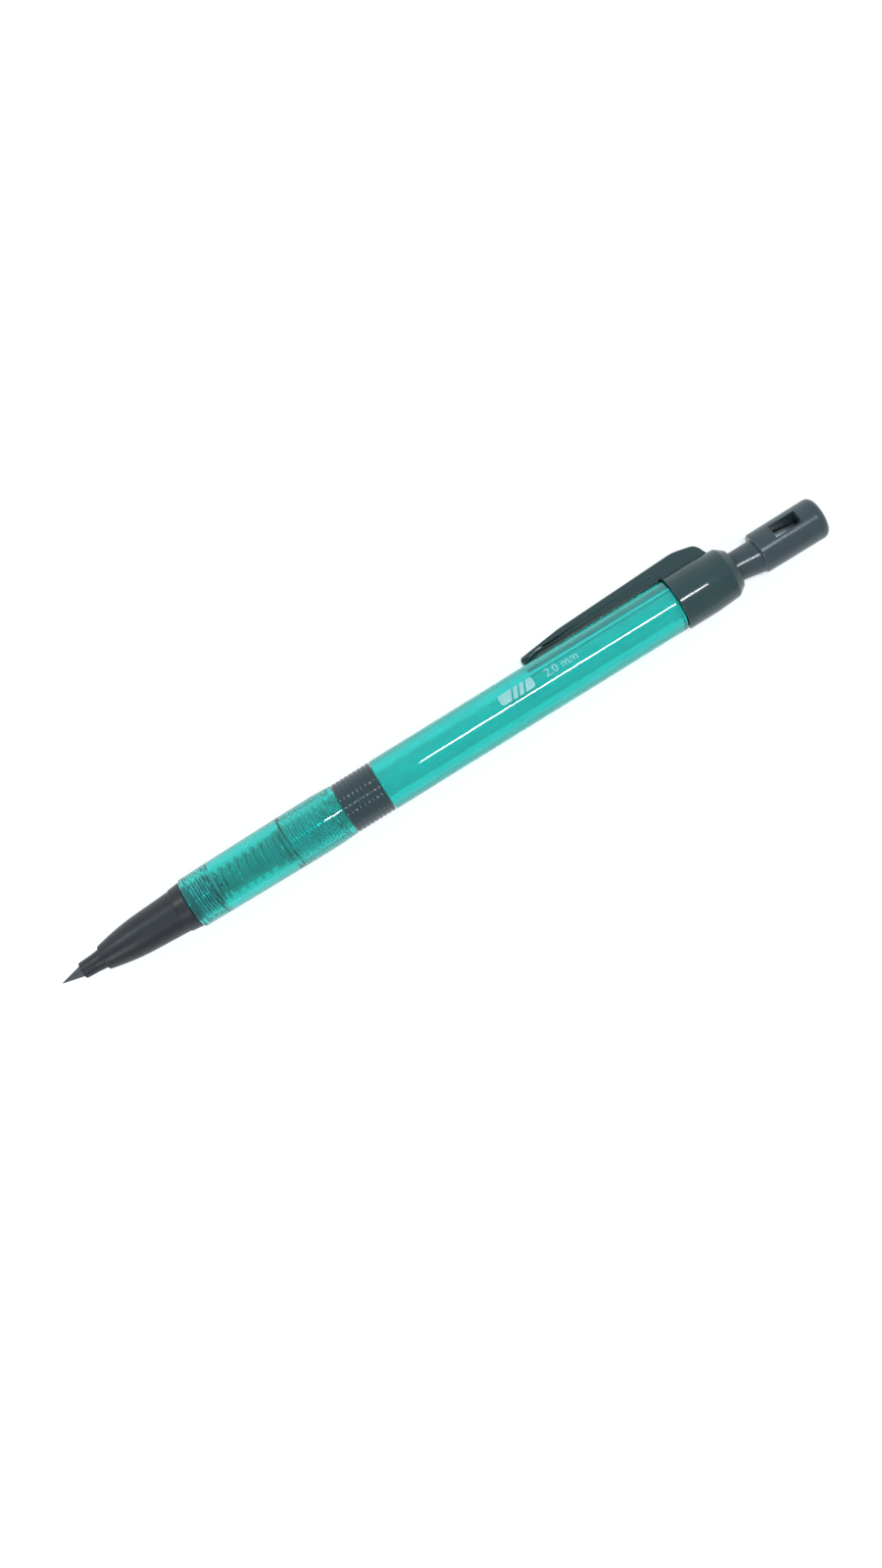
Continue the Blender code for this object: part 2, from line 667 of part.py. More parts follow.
def make_clip_arm(axis, cutters):
    """Clip arm as an extruded side view, narrower towards its tip, with rounded edges."""
    corners = clip_outline()
    loop = rounded([corners[-1], *corners, corners[0]])[1:-1]
    curve = bpy.data.curves.new("clip_arm", "CURVE")
    curve.dimensions = "2D"
    curve.fill_mode = "BOTH"
    curve.extrude = CLIP_WIDTH / 2
    spline = curve.splines.new("POLY")
    spline.use_cyclic_u = True
    spline.points.add(len(loop) - 1)
    for point, place in zip(spline.points, loop):
        point.co = (place.x, place.y, 0.0, 1.0)
    arm = bpy.data.objects.new("clip_arm", curve)
    cutters.objects.link(arm)
    arm.parent = axis
    outward = roll_direction(CLIP_ROLL_DEG)
    along = Vector((0.0, 0.0, 1.0))
    arm.matrix_local = Matrix((along, outward, along.cross(outward))).transposed().to_4x4()
    arm = as_solid(arm, cutters)
    taper = CLIP_LENGTH - CLIP_CREST_SETBACK
    for vertex in arm.data.vertices:
        share = min(max((vertex.co.x - CLIP_FRONT) / taper, 0.0), 1.0)
        vertex.co.z *= (CLIP_TIP_WIDTH + (CLIP_WIDTH - CLIP_TIP_WIDTH) * share) / CLIP_WIDTH
    bevel = arm.modifiers.new("edges", "BEVEL")
    bevel.width = CLIP_EDGE_RADIUS
    bevel.segments = 2
    bevel.limit_method = "ANGLE"
    bevel.angle_limit = math.radians(50)
    return as_cutter(arm)


def make_clip_cap(axis, collection, cutters):
    outside = rounded(
        [
            (COLLAR_FRONT + FACE_GAP, COLLAR_BORE, 0),
            (COLLAR_FRONT + FACE_GAP, COLLAR_RADIUS, SMALL_ROUND),
            (COLLAR_FRONT + COLLAR_PLAIN_LENGTH, COLLAR_RADIUS, 0),
            (COLLAR_REAR - COLLAR_FACE_LENGTH, COLLAR_REAR_RADIUS, COLLAR_ROUND),
            (COLLAR_REAR, MOUTH_RADIUS, 0),
        ],
        steps=4,
    )
    bore = [
        (COLLAR_FRONT + FACE_GAP, COLLAR_BORE),
        (REAR_SPIGOT_REAR + 2 * FACE_GAP, COLLAR_BORE),
        (REAR_SPIGOT_REAR + 2 * FACE_GAP, MOUTH_BORE),
        (COLLAR_REAR - MOUTH_DEPTH, MOUTH_BORE),
    ]
    cap = turned("clip_cap", outside[1:], bore, black_plastic(), axis, collection)
    boolean(cap, make_clip_arm(axis, cutters), "UNION")
    return cap


def cone_height(station):
    """Height of the top of the sharpener's cone above the axis."""
    slope = (LEAD_BORE - SHARPENER_POINT_RADIUS) / SHARPENER_CONE_LENGTH
    return LEAD_BORE - (station - SLOT_FRONT) * slope


def slanted_block(name, front, rear, sides, heights, parent, collection):
    """Block across the slot's direction, whose floor and, where it has a thickness, top follow the cone."""
    outward = roll_direction(SLOT_ROLL_DEG)
    side = Vector((0.0, 0.0, 1.0)).cross(outward)
    low, high, flat_top = heights
    shape = bmesh.new()
    bmesh.ops.create_cube(shape, size=1.0)
    for vertex in shape.verts:
        station = front if vertex.co.z < 0 else rear
        across = sides[0] if vertex.co.y < 0 else sides[1]
        height = cone_height(station) + low
        if vertex.co.x > 0:
            height = high if flat_top else height + high
        vertex.co = outward * height + side * across + Vector((0.0, 0.0, station))
    bmesh.ops.recalc_face_normals(shape, faces=shape.faces)
    mesh = bpy.data.meshes.new(name)
    shape.to_mesh(mesh)
    shape.free()
    block = bpy.data.objects.new(name, mesh)
    collection.objects.link(block)
    block.parent = parent
    return block


def make_flare(axis, cutters):
    """Eccentric cone that swells the neck on one side, into the cap."""
    shape = bmesh.new()
    depth = CAP_FRONT + CAP_FRONT_ROUND - COLLAR_REAR - FLARE_SETBACK
    bmesh.ops.create_cone(
        shape,
        cap_ends=True,
        segments=SEGMENTS,
        radius1=NECK_RADIUS - FIT_CLEARANCE,
        radius2=FLARE_RADIUS,
        depth=depth,
    )
    shift = roll_direction(FLARE_ROLL_DEG) * FLARE_OFFSET
    middle = COLLAR_REAR + FLARE_SETBACK + depth / 2
    for vertex in shape.verts:
        if vertex.co.z > 0:
            vertex.co += shift
        vertex.co.z += middle
    mesh = bpy.data.meshes.new("neck_flare")
    shape.to_mesh(mesh)
    shape.free()
    flare = as_cutter(bpy.data.objects.new("neck_flare", mesh))
    cutters.objects.link(flare)
    flare.parent = axis
    return flare


def make_push_button(axis, collection, cutters):
    outside = [
        (PLUG_FRONT, PLUG_RADIUS),
        (NECK_FRONT, PLUG_RADIUS),
        (NECK_FRONT, NECK_RADIUS),
        *rounded(
            [
                (CAP_FRONT, NECK_RADIUS, 0),
                (CAP_FRONT, CAP_FRONT_RADIUS, CAP_FRONT_ROUND),
                (CAP_REAR, CAP_REAR_RADIUS, CAP_END_ROUND),
                (CAP_REAR, 0.0, 0),
            ],
            steps=4,
        ),
    ]
    bore = [
        (PLUG_FRONT, LEAD_BORE),
        (SLOT_FRONT, LEAD_BORE),
        (SLOT_FRONT + SHARPENER_CONE_LENGTH, SHARPENER_POINT_RADIUS),
        (SLOT_FRONT + SHARPENER_CONE_LENGTH, 0.0),
    ]
    button = turned("push_button", outside, bore, black_plastic(), axis, collection)
    boolean(button, make_flare(axis, cutters), "UNION")
    sides = (-SLOT_WIDTH / 2, SLOT_WIDTH / 2)
    slot = slanted_block(
        "sharpener_slot",
        SLOT_FRONT,
        SLOT_REAR,
        sides,
        (-SLOT_BITE, 2 * CAP_REAR_RADIUS, True),
        axis,
        cutters,
    )
    boolean(button, as_cutter(slot), "DIFFERENCE")
    return button


def make_blade(axis, collection):
    gap = FACE_GAP
    sides = (BLADE_EDGE_OFFSET, min(BLADE_EDGE_OFFSET + BLADE_WIDTH, SLOT_WIDTH / 2 - gap))
    blade = slanted_block(
        "sharpener_blade",
        SLOT_FRONT + gap,
        SLOT_REAR - gap,
        sides,
        (BLADE_GAP - SLOT_BITE, BLADE_THICKNESS, False),
        axis,
        collection,
    )
    blade.data.materials.append(blade_steel())
    return blade


def finish_shading(collection):
    for piece in collection.objects:
        if piece.type == "MESH":
            piece.data.shade_smooth()
            piece.data.set_sharp_from_angle(angle=math.radians(35))


def main():
    clear_scene()
    holder = make_collection("lead_holder")
    cutters = make_collection("cutters")
    body_axis = make_axis("holder_axis")
    press_axis = make_axis("press_axis", body_axis)
    button_axis = make_axis("button_axis", press_axis)
    lead_axis = make_axis("lead_axis", press_axis)

    make_nose_cone(body_axis, holder)
    make_retainer(body_axis, holder)
    make_clutch_ring(body_axis, holder)
    make_grip(body_axis, holder)
    make_grip_ring(body_axis, holder)
    make_barrel(body_axis, holder)
    make_clip_cap(body_axis, holder, cutters)
    make_spring(body_axis, holder)

    make_jaws(press_axis, holder, cutters)
    make_spring_seat(press_axis, holder)
    make_lead_tube(press_axis, holder)

    make_push_button(button_axis, holder, cutters)
    make_blade(button_axis, holder)
    make_lead(lead_axis, holder)

    finish_shading(holder)


main()
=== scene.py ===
"""Lead holder for 2 mm leads: the visible pieces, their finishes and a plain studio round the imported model.

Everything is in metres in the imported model's frame. The holder lies along X with its point towards -X.
"""

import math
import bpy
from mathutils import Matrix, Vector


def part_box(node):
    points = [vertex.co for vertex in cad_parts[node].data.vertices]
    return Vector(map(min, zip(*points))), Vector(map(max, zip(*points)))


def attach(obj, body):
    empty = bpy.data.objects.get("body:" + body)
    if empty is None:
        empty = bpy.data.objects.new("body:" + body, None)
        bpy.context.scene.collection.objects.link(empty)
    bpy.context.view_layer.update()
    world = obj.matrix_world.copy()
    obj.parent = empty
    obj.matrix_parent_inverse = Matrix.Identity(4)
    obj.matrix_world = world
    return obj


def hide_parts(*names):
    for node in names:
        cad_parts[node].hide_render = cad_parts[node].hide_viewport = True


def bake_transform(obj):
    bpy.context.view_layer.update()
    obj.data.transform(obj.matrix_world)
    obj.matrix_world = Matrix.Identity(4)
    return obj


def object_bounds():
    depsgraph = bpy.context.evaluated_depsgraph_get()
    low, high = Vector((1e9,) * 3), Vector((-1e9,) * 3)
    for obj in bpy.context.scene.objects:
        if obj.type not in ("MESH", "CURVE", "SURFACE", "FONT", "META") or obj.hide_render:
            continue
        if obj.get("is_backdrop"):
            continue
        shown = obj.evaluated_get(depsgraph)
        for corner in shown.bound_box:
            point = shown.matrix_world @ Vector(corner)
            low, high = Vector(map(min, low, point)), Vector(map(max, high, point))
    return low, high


bl_info = {
    "name": "Lead Holder",
    "version": (1, 0, 0),
    "blender": (4, 5, 0),
    "location": "View3D > Sidebar > Lead Holder",
    "description": "Builds the visible pieces of a clutch lead holder and a plain studio round them",
    "category": "Add Mesh",
}

import bmesh
import bpy
from bpy.props import FloatProperty, FloatVectorProperty, IntProperty, PointerProperty
from mathutils import Matrix, Vector

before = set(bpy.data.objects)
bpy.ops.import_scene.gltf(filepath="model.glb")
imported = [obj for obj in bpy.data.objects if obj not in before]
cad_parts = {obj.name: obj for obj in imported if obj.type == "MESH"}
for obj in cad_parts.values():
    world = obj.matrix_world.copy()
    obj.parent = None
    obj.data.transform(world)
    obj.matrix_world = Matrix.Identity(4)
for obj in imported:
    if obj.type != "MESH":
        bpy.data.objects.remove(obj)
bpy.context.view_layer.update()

MM = 0.001

# Face gap between neighbouring pieces, and how near a corner a point holds the shading straight
GAP = 0.1 * MM
HOLD = 0.15 * MM
# Degrees beyond which an edge is drawn sharp
SHARP = 35
# A thread's flanks: how steep they are, and where its root ends on them
FLANK_SLOPE = 2.6
FLANK_START = 0.8


def front(node):
    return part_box(node)[0].x


def rear(node):
    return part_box(node)[1].x


def girth(node):
    """Outer radius of a turned node."""
    low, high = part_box(node)
    return (high.z - low.z) / 2


AXIS_Y = (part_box("barrel")[0].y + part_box("barrel")[1].y) / 2
AXIS_Z = (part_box("barrel")[0].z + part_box("barrel")[1].z) / 2


def linear(code):
    """Linear RGB of an sRGB hex colour."""
    channels = [int(code[i : i + 2], 16) / 255 for i in (1, 3, 5)]
    return tuple(c / 12.92 if c <= 0.04045 else ((c + 0.055) / 1.055) ** 2.4 for c in channels)


# ---- settings


def length(name, text, default):
    return FloatProperty(name=name, description=text, default=default, unit="LENGTH", precision=5)


def colour(name, text, code):
    return FloatVectorProperty(
        name=name, description=text, default=linear(code), subtype="COLOR", size=3, min=0, max=1
    )


class HolderSizes(bpy.types.PropertyGroup):
    segments: IntProperty(name="Segments", description="Facets round a turned piece", default=128, min=24)
    thread_pitch: length("Thread pitch", "Distance between the crests of the body's threads", 1.0 * MM)
    thread_depth: length("Thread depth", "Height of a thread from root to crest", 0.28 * MM)
    rib_pitch: length("Rib pitch", "Distance between the ribs of the ring", 0.8 * MM)
    rib_depth: length("Rib depth", "Depth of the grooves between the ribs", 0.13 * MM)
    wire: length("Spring wire", "Diameter of the spring's wire", 0.5 * MM)
    open_pitch: length("Open pitch", "Distance between the spring's open turns", 1.52 * MM)
    clip_width: length("Clip width", "Width of the clip at its root", 4.0 * MM)
    clip_tip_width: length("Clip tip width", "Width of the clip near its free end", 3.4 * MM)


class HolderColours(bpy.types.PropertyGroup):
    teal: colour("Teal", "Tint of the clear plastic's surface and haze", "#1cfdf6")
    nose: colour("Nose", "Black plastic of the nose cone", "#101218")
    ring: colour("Ring", "Black plastic of the ribbed ring", "#243438")
    # The clip cap's black carries a teal cast: the plastic's own black plus a painted reflection of the teal
    # barrel
    cap: colour("Clip cap", "Black plastic of the collar and clip", "#243737")
    button: colour("Button", "Black plastic of the push button", "#313c40")
    natural: colour("Natural", "Undyed plastic of the lead tube", "#eef3f0")
    graphite: colour("Graphite", "Polymer-bound graphite of the lead", "#3f4044")
    plating: colour("Plating", "Nickel plating of the clutch", "#a8a69c")
    steel: colour("Steel", "Drawn spring wire", "#b9bbbd")
    blade: colour("Blade", "Ground blade steel", "#c4c7ca")
    foil: colour("Foil", "Stamped silver foil of the markings", "#98cdca")
    rubber: colour("Rubber", "Soft rubber of the lead retainer", "#17181a")
    floor: colour("Floor", "Pale floor", "#b4b6b8")


def sizes():
    return bpy.context.scene.holder_sizes


def colours():
    return bpy.context.scene.holder_colours


# ---- shapes


def around(x, radius, roll):
    """Point at a distance from the axis; roll is in radians from straight up towards +Y."""
    return Vector((x, AXIS_Y + radius * math.sin(roll), AXIS_Z + radius * math.cos(roll)))


def polar(point):
    """(radius, roll) of a point about the axis."""
    y, z = point.y - AXIS_Y, point.z - AXIS_Z
    return math.hypot(y, z), math.atan2(y, z)


def placed(x, height, side, roll):
    """Point at a height from the axis towards a roll, and at a distance to one side of that."""
    out = Vector((0, math.sin(roll), math.cos(roll)))
    return Vector((x, AXIS_Y, AXIS_Z)) + out * height + Vector((1, 0, 0)).cross(out) * side


def rounded(corners, steps=6):
    """Points (x, radius) along corners (x, radius, round), with an arc at each corner that has a round."""
    points = []
    for i, (x, radius, size) in enumerate(corners):
        here = Vector((x, radius))
        if size <= 0 or i in (0, len(corners) - 1):
            points.append(here)
            continue
        before = Vector(corners[i - 1][:2]) - here
        after = Vector(corners[i + 1][:2]) - here
        half = before.angle(after) / 2
        reach = min(size / math.tan(half), 0.49 * before.length, 0.49 * after.length)
        size = reach * math.tan(half)
        start = here + before.normalized() * reach
        end = here + after.normalized() * reach
        centre = here + (before.normalized() + after.normalized()).normalized() * size / math.sin(half)
        turn = (start - centre).angle_signed(end - centre)
        for k in range(steps + 1):
            arm = (start - centre).copy()
            arm.rotate(Matrix.Rotation(-turn * k / steps, 2))
            points.append(centre + arm)
    return points


def bulged(start, end, bulge, steps):
    """Points between two ends on a curve whose middle stands bulge off the chord, without the ends."""
    start, end = Vector(start), Vector(end)
    out = Vector((start.y - end.y, end.x - start.x)).normalized()
    shares = [k / steps for k in range(1, steps)]
    return [start.lerp(end, share) + out * 4 * bulge * share * (1 - share) for share in shares]


def rows(start, end, radius, step):
    """Points along a straight stretch, close enough together to carry a thread."""
    count = max(1, round(abs(end - start) / step))
    return [Vector((start + (end - start) * k / count, radius)) for k in range(count + 1)]


def held(profile, closed):
    """Adds a point near both ends of each long stretch, so that its shading stays straight."""
    points = []
    for here, after in zip(profile, profile[1:] + profile[:1]):
        points.append(Vector(here))
        span = (Vector(after) - Vector(here)).length
        if span > 4 * HOLD:
            points += [Vector(here).lerp(after, HOLD / span), Vector(here).lerp(after, 1 - HOLD / span)]
    if not closed:
        while points[-1] != Vector(profile[-1]):
            points.pop()
    return points


def spun(profile, closed=True):
    """Turned body from a profile of (x, radius); a closed profile has a bore."""
    profile = held(profile, closed)
    shape = bmesh.new()
    verts = [shape.verts.new(around(x, radius, 0)) for x, radius in profile]
    edges = [shape.edges.new(pair) for pair in zip(verts, verts[1:])]
    if closed:
        edges.append(shape.edges.new((verts[-1], verts[0])))
    bmesh.ops.spin(
        shape,
        geom=verts + edges,
        cent=(0, AXIS_Y, AXIS_Z),
        axis=(1, 0, 0),
        angle=2 * math.pi,
        steps=sizes().segments,
        use_merge=True,
    )
    bmesh.ops.remove_doubles(shape, verts=shape.verts, dist=1e-7)
    bmesh.ops.recalc_face_normals(shape, faces=shape.faces)
    return shape


def cut_thread(shape, start, end, radius, inward):
    """Moves the rows of a plain stretch into a helical thread; inward is 1 on an outside, -1 in a bore."""
    pitch, depth = sizes().thread_pitch, sizes().thread_depth
    for vert in shape.verts:
        here, roll = polar(vert.co)
        if not (start <= vert.co.x <= end and abs(here - radius) < 1e-6):
            continue
        phase = (vert.co.x / pitch + roll / (2 * math.pi)) % 1.0
        flank = min(1.0, max(0.0, FLANK_SLOPE * abs(2 * phase - 1) - FLANK_START))
        fade = min(1.0, (vert.co.x - start) / pitch, (end - vert.co.x) / pitch)
        groove = depth * fade * (flank if inward > 0 else 1 - flank)
        vert.co = around(vert.co.x, here - inward * groove, roll)


def eased(shape, geom, size, segments, affect="EDGES"):
    """Rounds edges or corners."""
    bmesh.ops.bevel(
        shape, geom=geom, offset=size, segments=segments, profile=0.5, affect=affect, material=-1
    )


def as_object(shape, name, sharp=SHARP):
    """A mesh object from a bmesh, shaded smooth but for edges sharper than so many degrees."""
    mesh = bpy.data.meshes.new(name)
    shape.to_mesh(mesh)
    shape.free()
    mesh.shade_smooth()
    mesh.set_sharp_from_angle(angle=math.radians(sharp))
    piece = bpy.data.objects.new(name, mesh)
    bpy.context.scene.collection.objects.link(piece)
    return piece


def combined(piece, other, operation):
    """Applies a Boolean of another object to a piece and removes the other."""
    change = piece.modifiers.new(other.name, "BOOLEAN")
    change.operation = operation
    change.object = other
    change.solver = "EXACT"
    change.use_self = True
    bpy.context.view_layer.update()
    graph = bpy.context.evaluated_depsgraph_get()
    mesh = bpy.data.meshes.new_from_object(piece.evaluated_get(graph))
    piece.modifiers.clear()
    old = piece.data
    piece.data = mesh
    bpy.data.meshes.remove(old)
    bpy.data.objects.remove(other, do_unlink=True)
    return piece


def even_normals(piece):
    """Keeps flat faces flat in the shading where they meet small rounds."""
    piece.data.shade_smooth()
    piece.data.set_sharp_from_angle(angle=math.radians(SHARP))
    piece.modifiers.new("normals", "WEIGHTED_NORMAL").keep_sharp = True


def settle(piece, node, body, material):
    """Gives a finished piece its material, hides the node it stands for and, where it has one, attaches it to
    its body.
    """
    piece.data.materials.clear()
    piece.data.materials.append(material)
    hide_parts(node)
    if body:
        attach(piece, body)


# ---- materials


def add_node(tree, kind, inputs=None, **settings):
    """Adds a node; inputs are values or the outputs that feed them, settings its own properties."""
    made = tree.nodes.new(kind)
    for name, value in settings.items():
        setattr(made, name, value)
    for socket, value in (inputs or {}).items():
        if isinstance(value, bpy.types.NodeSocket):
            tree.links.new(value, made.inputs[socket])
        else:
            made.inputs[socket].default_value = value
    return made


def per(size):
    """Texture scale for features of that size in metres."""
    return 1.0 / size


def new_material(name, values=None):
    """A material whose shader has these values, with the parts that its patterns are linked to."""
    material = bpy.data.materials.new(name)
    material.use_nodes = True
    tree = material.node_tree
    tree.nodes.clear()
    shader = add_node(tree, "ShaderNodeBsdfPrincipled", values)
    output = add_node(tree, "ShaderNodeOutputMaterial", {"Surface": shader.outputs[0]})
    place = add_node(tree, "ShaderNodeTexCoord").outputs["Object"]
    return material, tree, shader, output, place


def mottled(tree, shader, place, size, low, high):
    """Gives the surface patches of that size, with a roughness between low and high."""
    noise = add_node(
        tree, "ShaderNodeTexNoise", {"Vector": place, "Scale": per(size), "Detail": 4.0, "Roughness": 0.6}
    )
    spread = add_node(
        tree,
        "ShaderNodeMapRange",
        {"Value": noise.outputs["Fac"], "From Min": 0.3, "From Max": 0.7, "To Min": low, "To Max": high},
    )
    tree.links.new(spread.outputs["Result"], shader.inputs["Roughness"])


def clouded(tree, shader, place, size, detail, tint, low, high):
    """Lets the base colour wander, in clouds of that size, between a darker and a lighter shade."""
    noise = add_node(tree, "ShaderNodeTexNoise", {"Vector": place, "Scale": per(size), "Detail": detail})
    shades = {"A": (*[c * low for c in tint], 1), "B": (*[c * high for c in tint], 1)}
    tone = add_node(tree, "ShaderNodeMix", {"Factor": noise.outputs["Fac"], **shades}, data_type="RGBA")
    tree.links.new(tone.outputs[2], shader.inputs["Base Color"])


def grained(tree, shader, place, size, detail, depth):
    """Raises a noise of that size from the surface by that depth."""
    noise = add_node(tree, "ShaderNodeTexNoise", {"Vector": place, "Scale": per(size), "Detail": detail})
    height = {"Height": noise.outputs["Fac"], "Distance": depth, "Strength": 1.0}
    raised = add_node(tree, "ShaderNodeBump", height)
    tree.links.new(raised.outputs["Normal"], shader.inputs["Normal"])


# How strongly the teal takes up red, and how much more blue than green it takes up
RED_TAKEN_UP = 900.0
BLUE_TO_GREEN = 1.13


def clear_teal_plastic(name, least_clear, depth):
    """Teal polystyrene, injection moulded and polished: clear, with slow flow ripples and fine handling
    marks, and darker where the eye looks through more of it; depth is how much green it takes up per
    metre, and least_clear its clearness where it is haziest."""
    values = {"Base Color": (*colours().teal, 1), "IOR": 1.55}
    material, tree, shader, output, place = new_material(name, values)
    haze = add_node(tree, "ShaderNodeTexNoise", {"Vector": place, "Scale": per(4 * MM), "Detail": 2.0})
    spread = {"From Min": 0.3, "From Max": 0.7, "To Min": least_clear, "To Max": least_clear + 0.05}
    clear = add_node(tree, "ShaderNodeMapRange", {"Value": haze.outputs["Fac"], **spread})
    tree.links.new(clear.outputs["Result"], shader.inputs["Transmission Weight"])
    mottled(tree, shader, place, 1.5 * MM, 0.005, 0.025)
    grained(tree, shader, place, 5 * MM, 1.0, 0.0005 * MM)
    passed = (0.0, 1 - depth / RED_TAKEN_UP, 1 - BLUE_TO_GREEN * depth / RED_TAKEN_UP, 1)
    body = add_node(tree, "ShaderNodeVolumeAbsorption", {"Color": passed, "Density": RED_TAKEN_UP})
    tree.links.new(body.outputs[0], output.inputs["Volume"])
    return material


def black_plastic(name, black, low, high, grain):
    """Black ABS, injection moulded: near black, with the fine grain of the mould and rubbed patches."""
    material, tree, shader, output, place = new_material(name, {"IOR": 1.47})
    clouded(tree, shader, place, 6 * MM, 3.0, black, 0.8, 1.3)
    mottled(tree, shader, place, 0.9 * MM, low, high)
    # Real mould grain is about 0.05 mm; drawn at 0.25 mm so that it shows
    grained(tree, shader, place, 0.25 * MM, 2.0, grain)
    return material


def natural_plastic():
    """Undyed polypropylene, extruded: milky white, with faint lines along the tube."""
    values = {"Roughness": 0.45, "IOR": 1.49}
    material, tree, shader, output, place = new_material("natural_polypropylene", values)
    along = add_node(tree, "ShaderNodeMapping", {"Vector": place, "Scale": (0.05, 1.0, 1.0)})
    clouded(tree, shader, along.outputs[0], 0.5 * MM, 2.0, colours().natural, 0.93, 1.0)
    grained(tree, shader, along.outputs[0], 0.5 * MM, 2.0, 0.01 * MM)
    return material


def turned_metal(name, tint, low, high, line, depth):
    """Turned or drawn metal: bright, with tool lines of that width and depth round the axis."""
    material, tree, shader, output, place = new_material(name, {"Base Color": (*tint, 1), "Metallic": 1.0})
    mottled(tree, shader, place, 0.7 * MM, low, high)
    round_axis = add_node(tree, "ShaderNodeMapping", {"Vector": place, "Scale": (1.0, 0.05, 0.05)})
    grained(tree, shader, round_axis.outputs[0], line, 2.0, depth)
    return material


def graphite():
    """Graphite lead, extruded and fired, then shaved to a point: dark grey with a soft metallic sheen."""
    material, tree, shader, output, place = new_material("shaved_graphite", {"Metallic": 0.35})
    along = add_node(tree, "ShaderNodeMapping", {"Vector": place, "Scale": (0.25, 1.0, 1.0)})
    clouded(tree, shader, along.outputs[0], 0.2 * MM, 4.0, colours().graphite, 0.7, 1.5)
    grained(tree, shader, along.outputs[0], 0.2 * MM, 4.0, 0.02 * MM)
    mottled(tree, shader, place, 0.3 * MM, 0.34, 0.52)
    return material


def soft_rubber():
    """Nitrile rubber, moulded: matt black."""
    black = {"Base Color": (*colours().rubber, 1)}
    material, tree, shader, output, place = new_material("moulded_nitrile_rubber", black)
    mottled(tree, shader, place, 0.3 * MM, 0.7, 0.85)
    return material


def silver_foil():
    """Hot-stamped foil: silver, a little uneven where it took."""
    material, tree, shader, output, place = new_material("stamped_silver_foil", {"Metallic": 0.3})
    clouded(tree, shader, place, 0.4 * MM, 4.0, colours().foil, 0.7, 1.0)
    mottled(tree, shader, place, 0.4 * MM, 0.3, 0.45)
    return material


# ---- stage

# The camera looks straight down; the holder rises to the right across the picture
VIEW_HEIGHT = 0.292
VIEW_TURN = math.radians(-31.74)
VIEW_ALONG = -0.0030
VIEW_ASIDE = -0.0048
SENSOR = 24.0
FIELD_HEIGHT = 0.25505
FLOOR_GAP = 0.02 * MM


def make_camera():
    camera = bpy.data.objects.new("camera", bpy.data.cameras.new("camera"))
    camera.data.sensor_fit = "VERTICAL"
    camera.data.sensor_height = SENSOR
    camera.data.lens = SENSOR * VIEW_HEIGHT / FIELD_HEIGHT
    camera.data.clip_start = 0.001
    camera.location = (VIEW_ALONG, AXIS_Y + VIEW_ASIDE, AXIS_Z + VIEW_HEIGHT)
    camera.rotation_euler = (0, 0, VIEW_TURN)
    bpy.context.scene.collection.objects.link(camera)
    bpy.context.scene.camera = camera


def make_light(name, place, width, depth, strength, tint=(1, 1, 1)):
    """Soft box that faces the holder."""
    light = bpy.data.objects.new(name, bpy.data.lights.new(name, "AREA"))
    light.data.shape = "RECTANGLE"
    light.data.size = width
    light.data.size_y = depth
    light.data.energy = strength
    light.data.color = tint
    away = Vector(place).normalized()
    along = Vector((1, 0, 0)) - away * away.x
    along.normalize()
    light.matrix_world = Matrix((along, away.cross(along), away)).transposed().to_4x4()
    light.location = place
    bpy.context.scene.collection.objects.link(light)


def make_world():
    """Even pale surroundings, brighter low down on the side of the clip and dimmer overhead."""
    world = bpy.data.worlds.new("studio")
    bpy.context.scene.world = world
    world.use_nodes = True
    tree = world.node_tree
    tree.nodes.clear()
    direction = add_node(tree, "ShaderNodeTexCoord").outputs["Generated"]
    split = add_node(tree, "ShaderNodeSeparateXYZ", {"Vector": direction})
    shares = []
    for way, start, low, high in (("Z", 0.2, 1.0, 0.85), ("Y", -1.0, 0.8, 1.15)):
        spread = {"From Min": start, "From Max": 1.0, "To Min": low, "To Max": high}
        share = add_node(tree, "ShaderNodeMapRange", {"Value": split.outputs[way], **spread})
        shares.append(share.outputs[0])
    both = add_node(tree, "ShaderNodeMath", {0: shares[0], 1: shares[1]}, operation="MULTIPLY")
    tint = add_node(
        tree,
        "ShaderNodeMix",
        {"Factor": split.outputs["Z"], "A": (0.93, 0.98, 1, 1), "B": (0.66, 0.88, 1, 1)},
        data_type="RGBA",
    )
    sky = add_node(tree, "ShaderNodeBackground", {"Color": tint.outputs[2], "Strength": both.outputs[0]})
    add_node(tree, "ShaderNodeOutputWorld", {"Surface": sky.outputs[0]})


def pale_floor():
    """Matt white board, with a little light of its own so that it stays pale round the holder."""
    glow = {"Emission Color": (1, 1, 1, 1), "Emission Strength": 0.60}
    values = {"Roughness": 0.8, "Specular IOR Level": 0.1, **glow}
    material, tree, shader, output, place = new_material("matt_white_board", values)
    clouded(tree, shader, place, 40 * MM, 3.0, colours().floor, 0.985, 1.0)
    return material


class HOLDER_OT_stage(bpy.types.Operator):
    """Makes the floor, the lights, the surroundings and the camera"""

    bl_idname = "holder.stage"
    bl_label = "Stage"

    def execute(self, context):
        shape = bmesh.new()
        bmesh.ops.create_grid(shape, x_segments=2, y_segments=2, size=1.5)
        bmesh.ops.translate(shape, verts=shape.verts, vec=(0, 0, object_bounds()[0].z - FLOOR_GAP))
        floor = as_object(shape, "floor")
        floor.data.materials.append(pale_floor())
        floor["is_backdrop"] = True
        make_world()
        make_camera()
        make_light("key", (0.152, -0.002, 1.4), 0.32, 0.08, 6.0)
        make_light("window", (-0.52, 0.68, 0.80), 0.08, 0.08, 2.2, (0.93, 0.98, 1.0))
        make_light("lamp", (-0.60, -0.50, 0.77), 0.07, 0.07, 1.8)
        context.scene.view_settings.view_transform = "Standard"
        return {"FINISHED"}


# ---- pieces


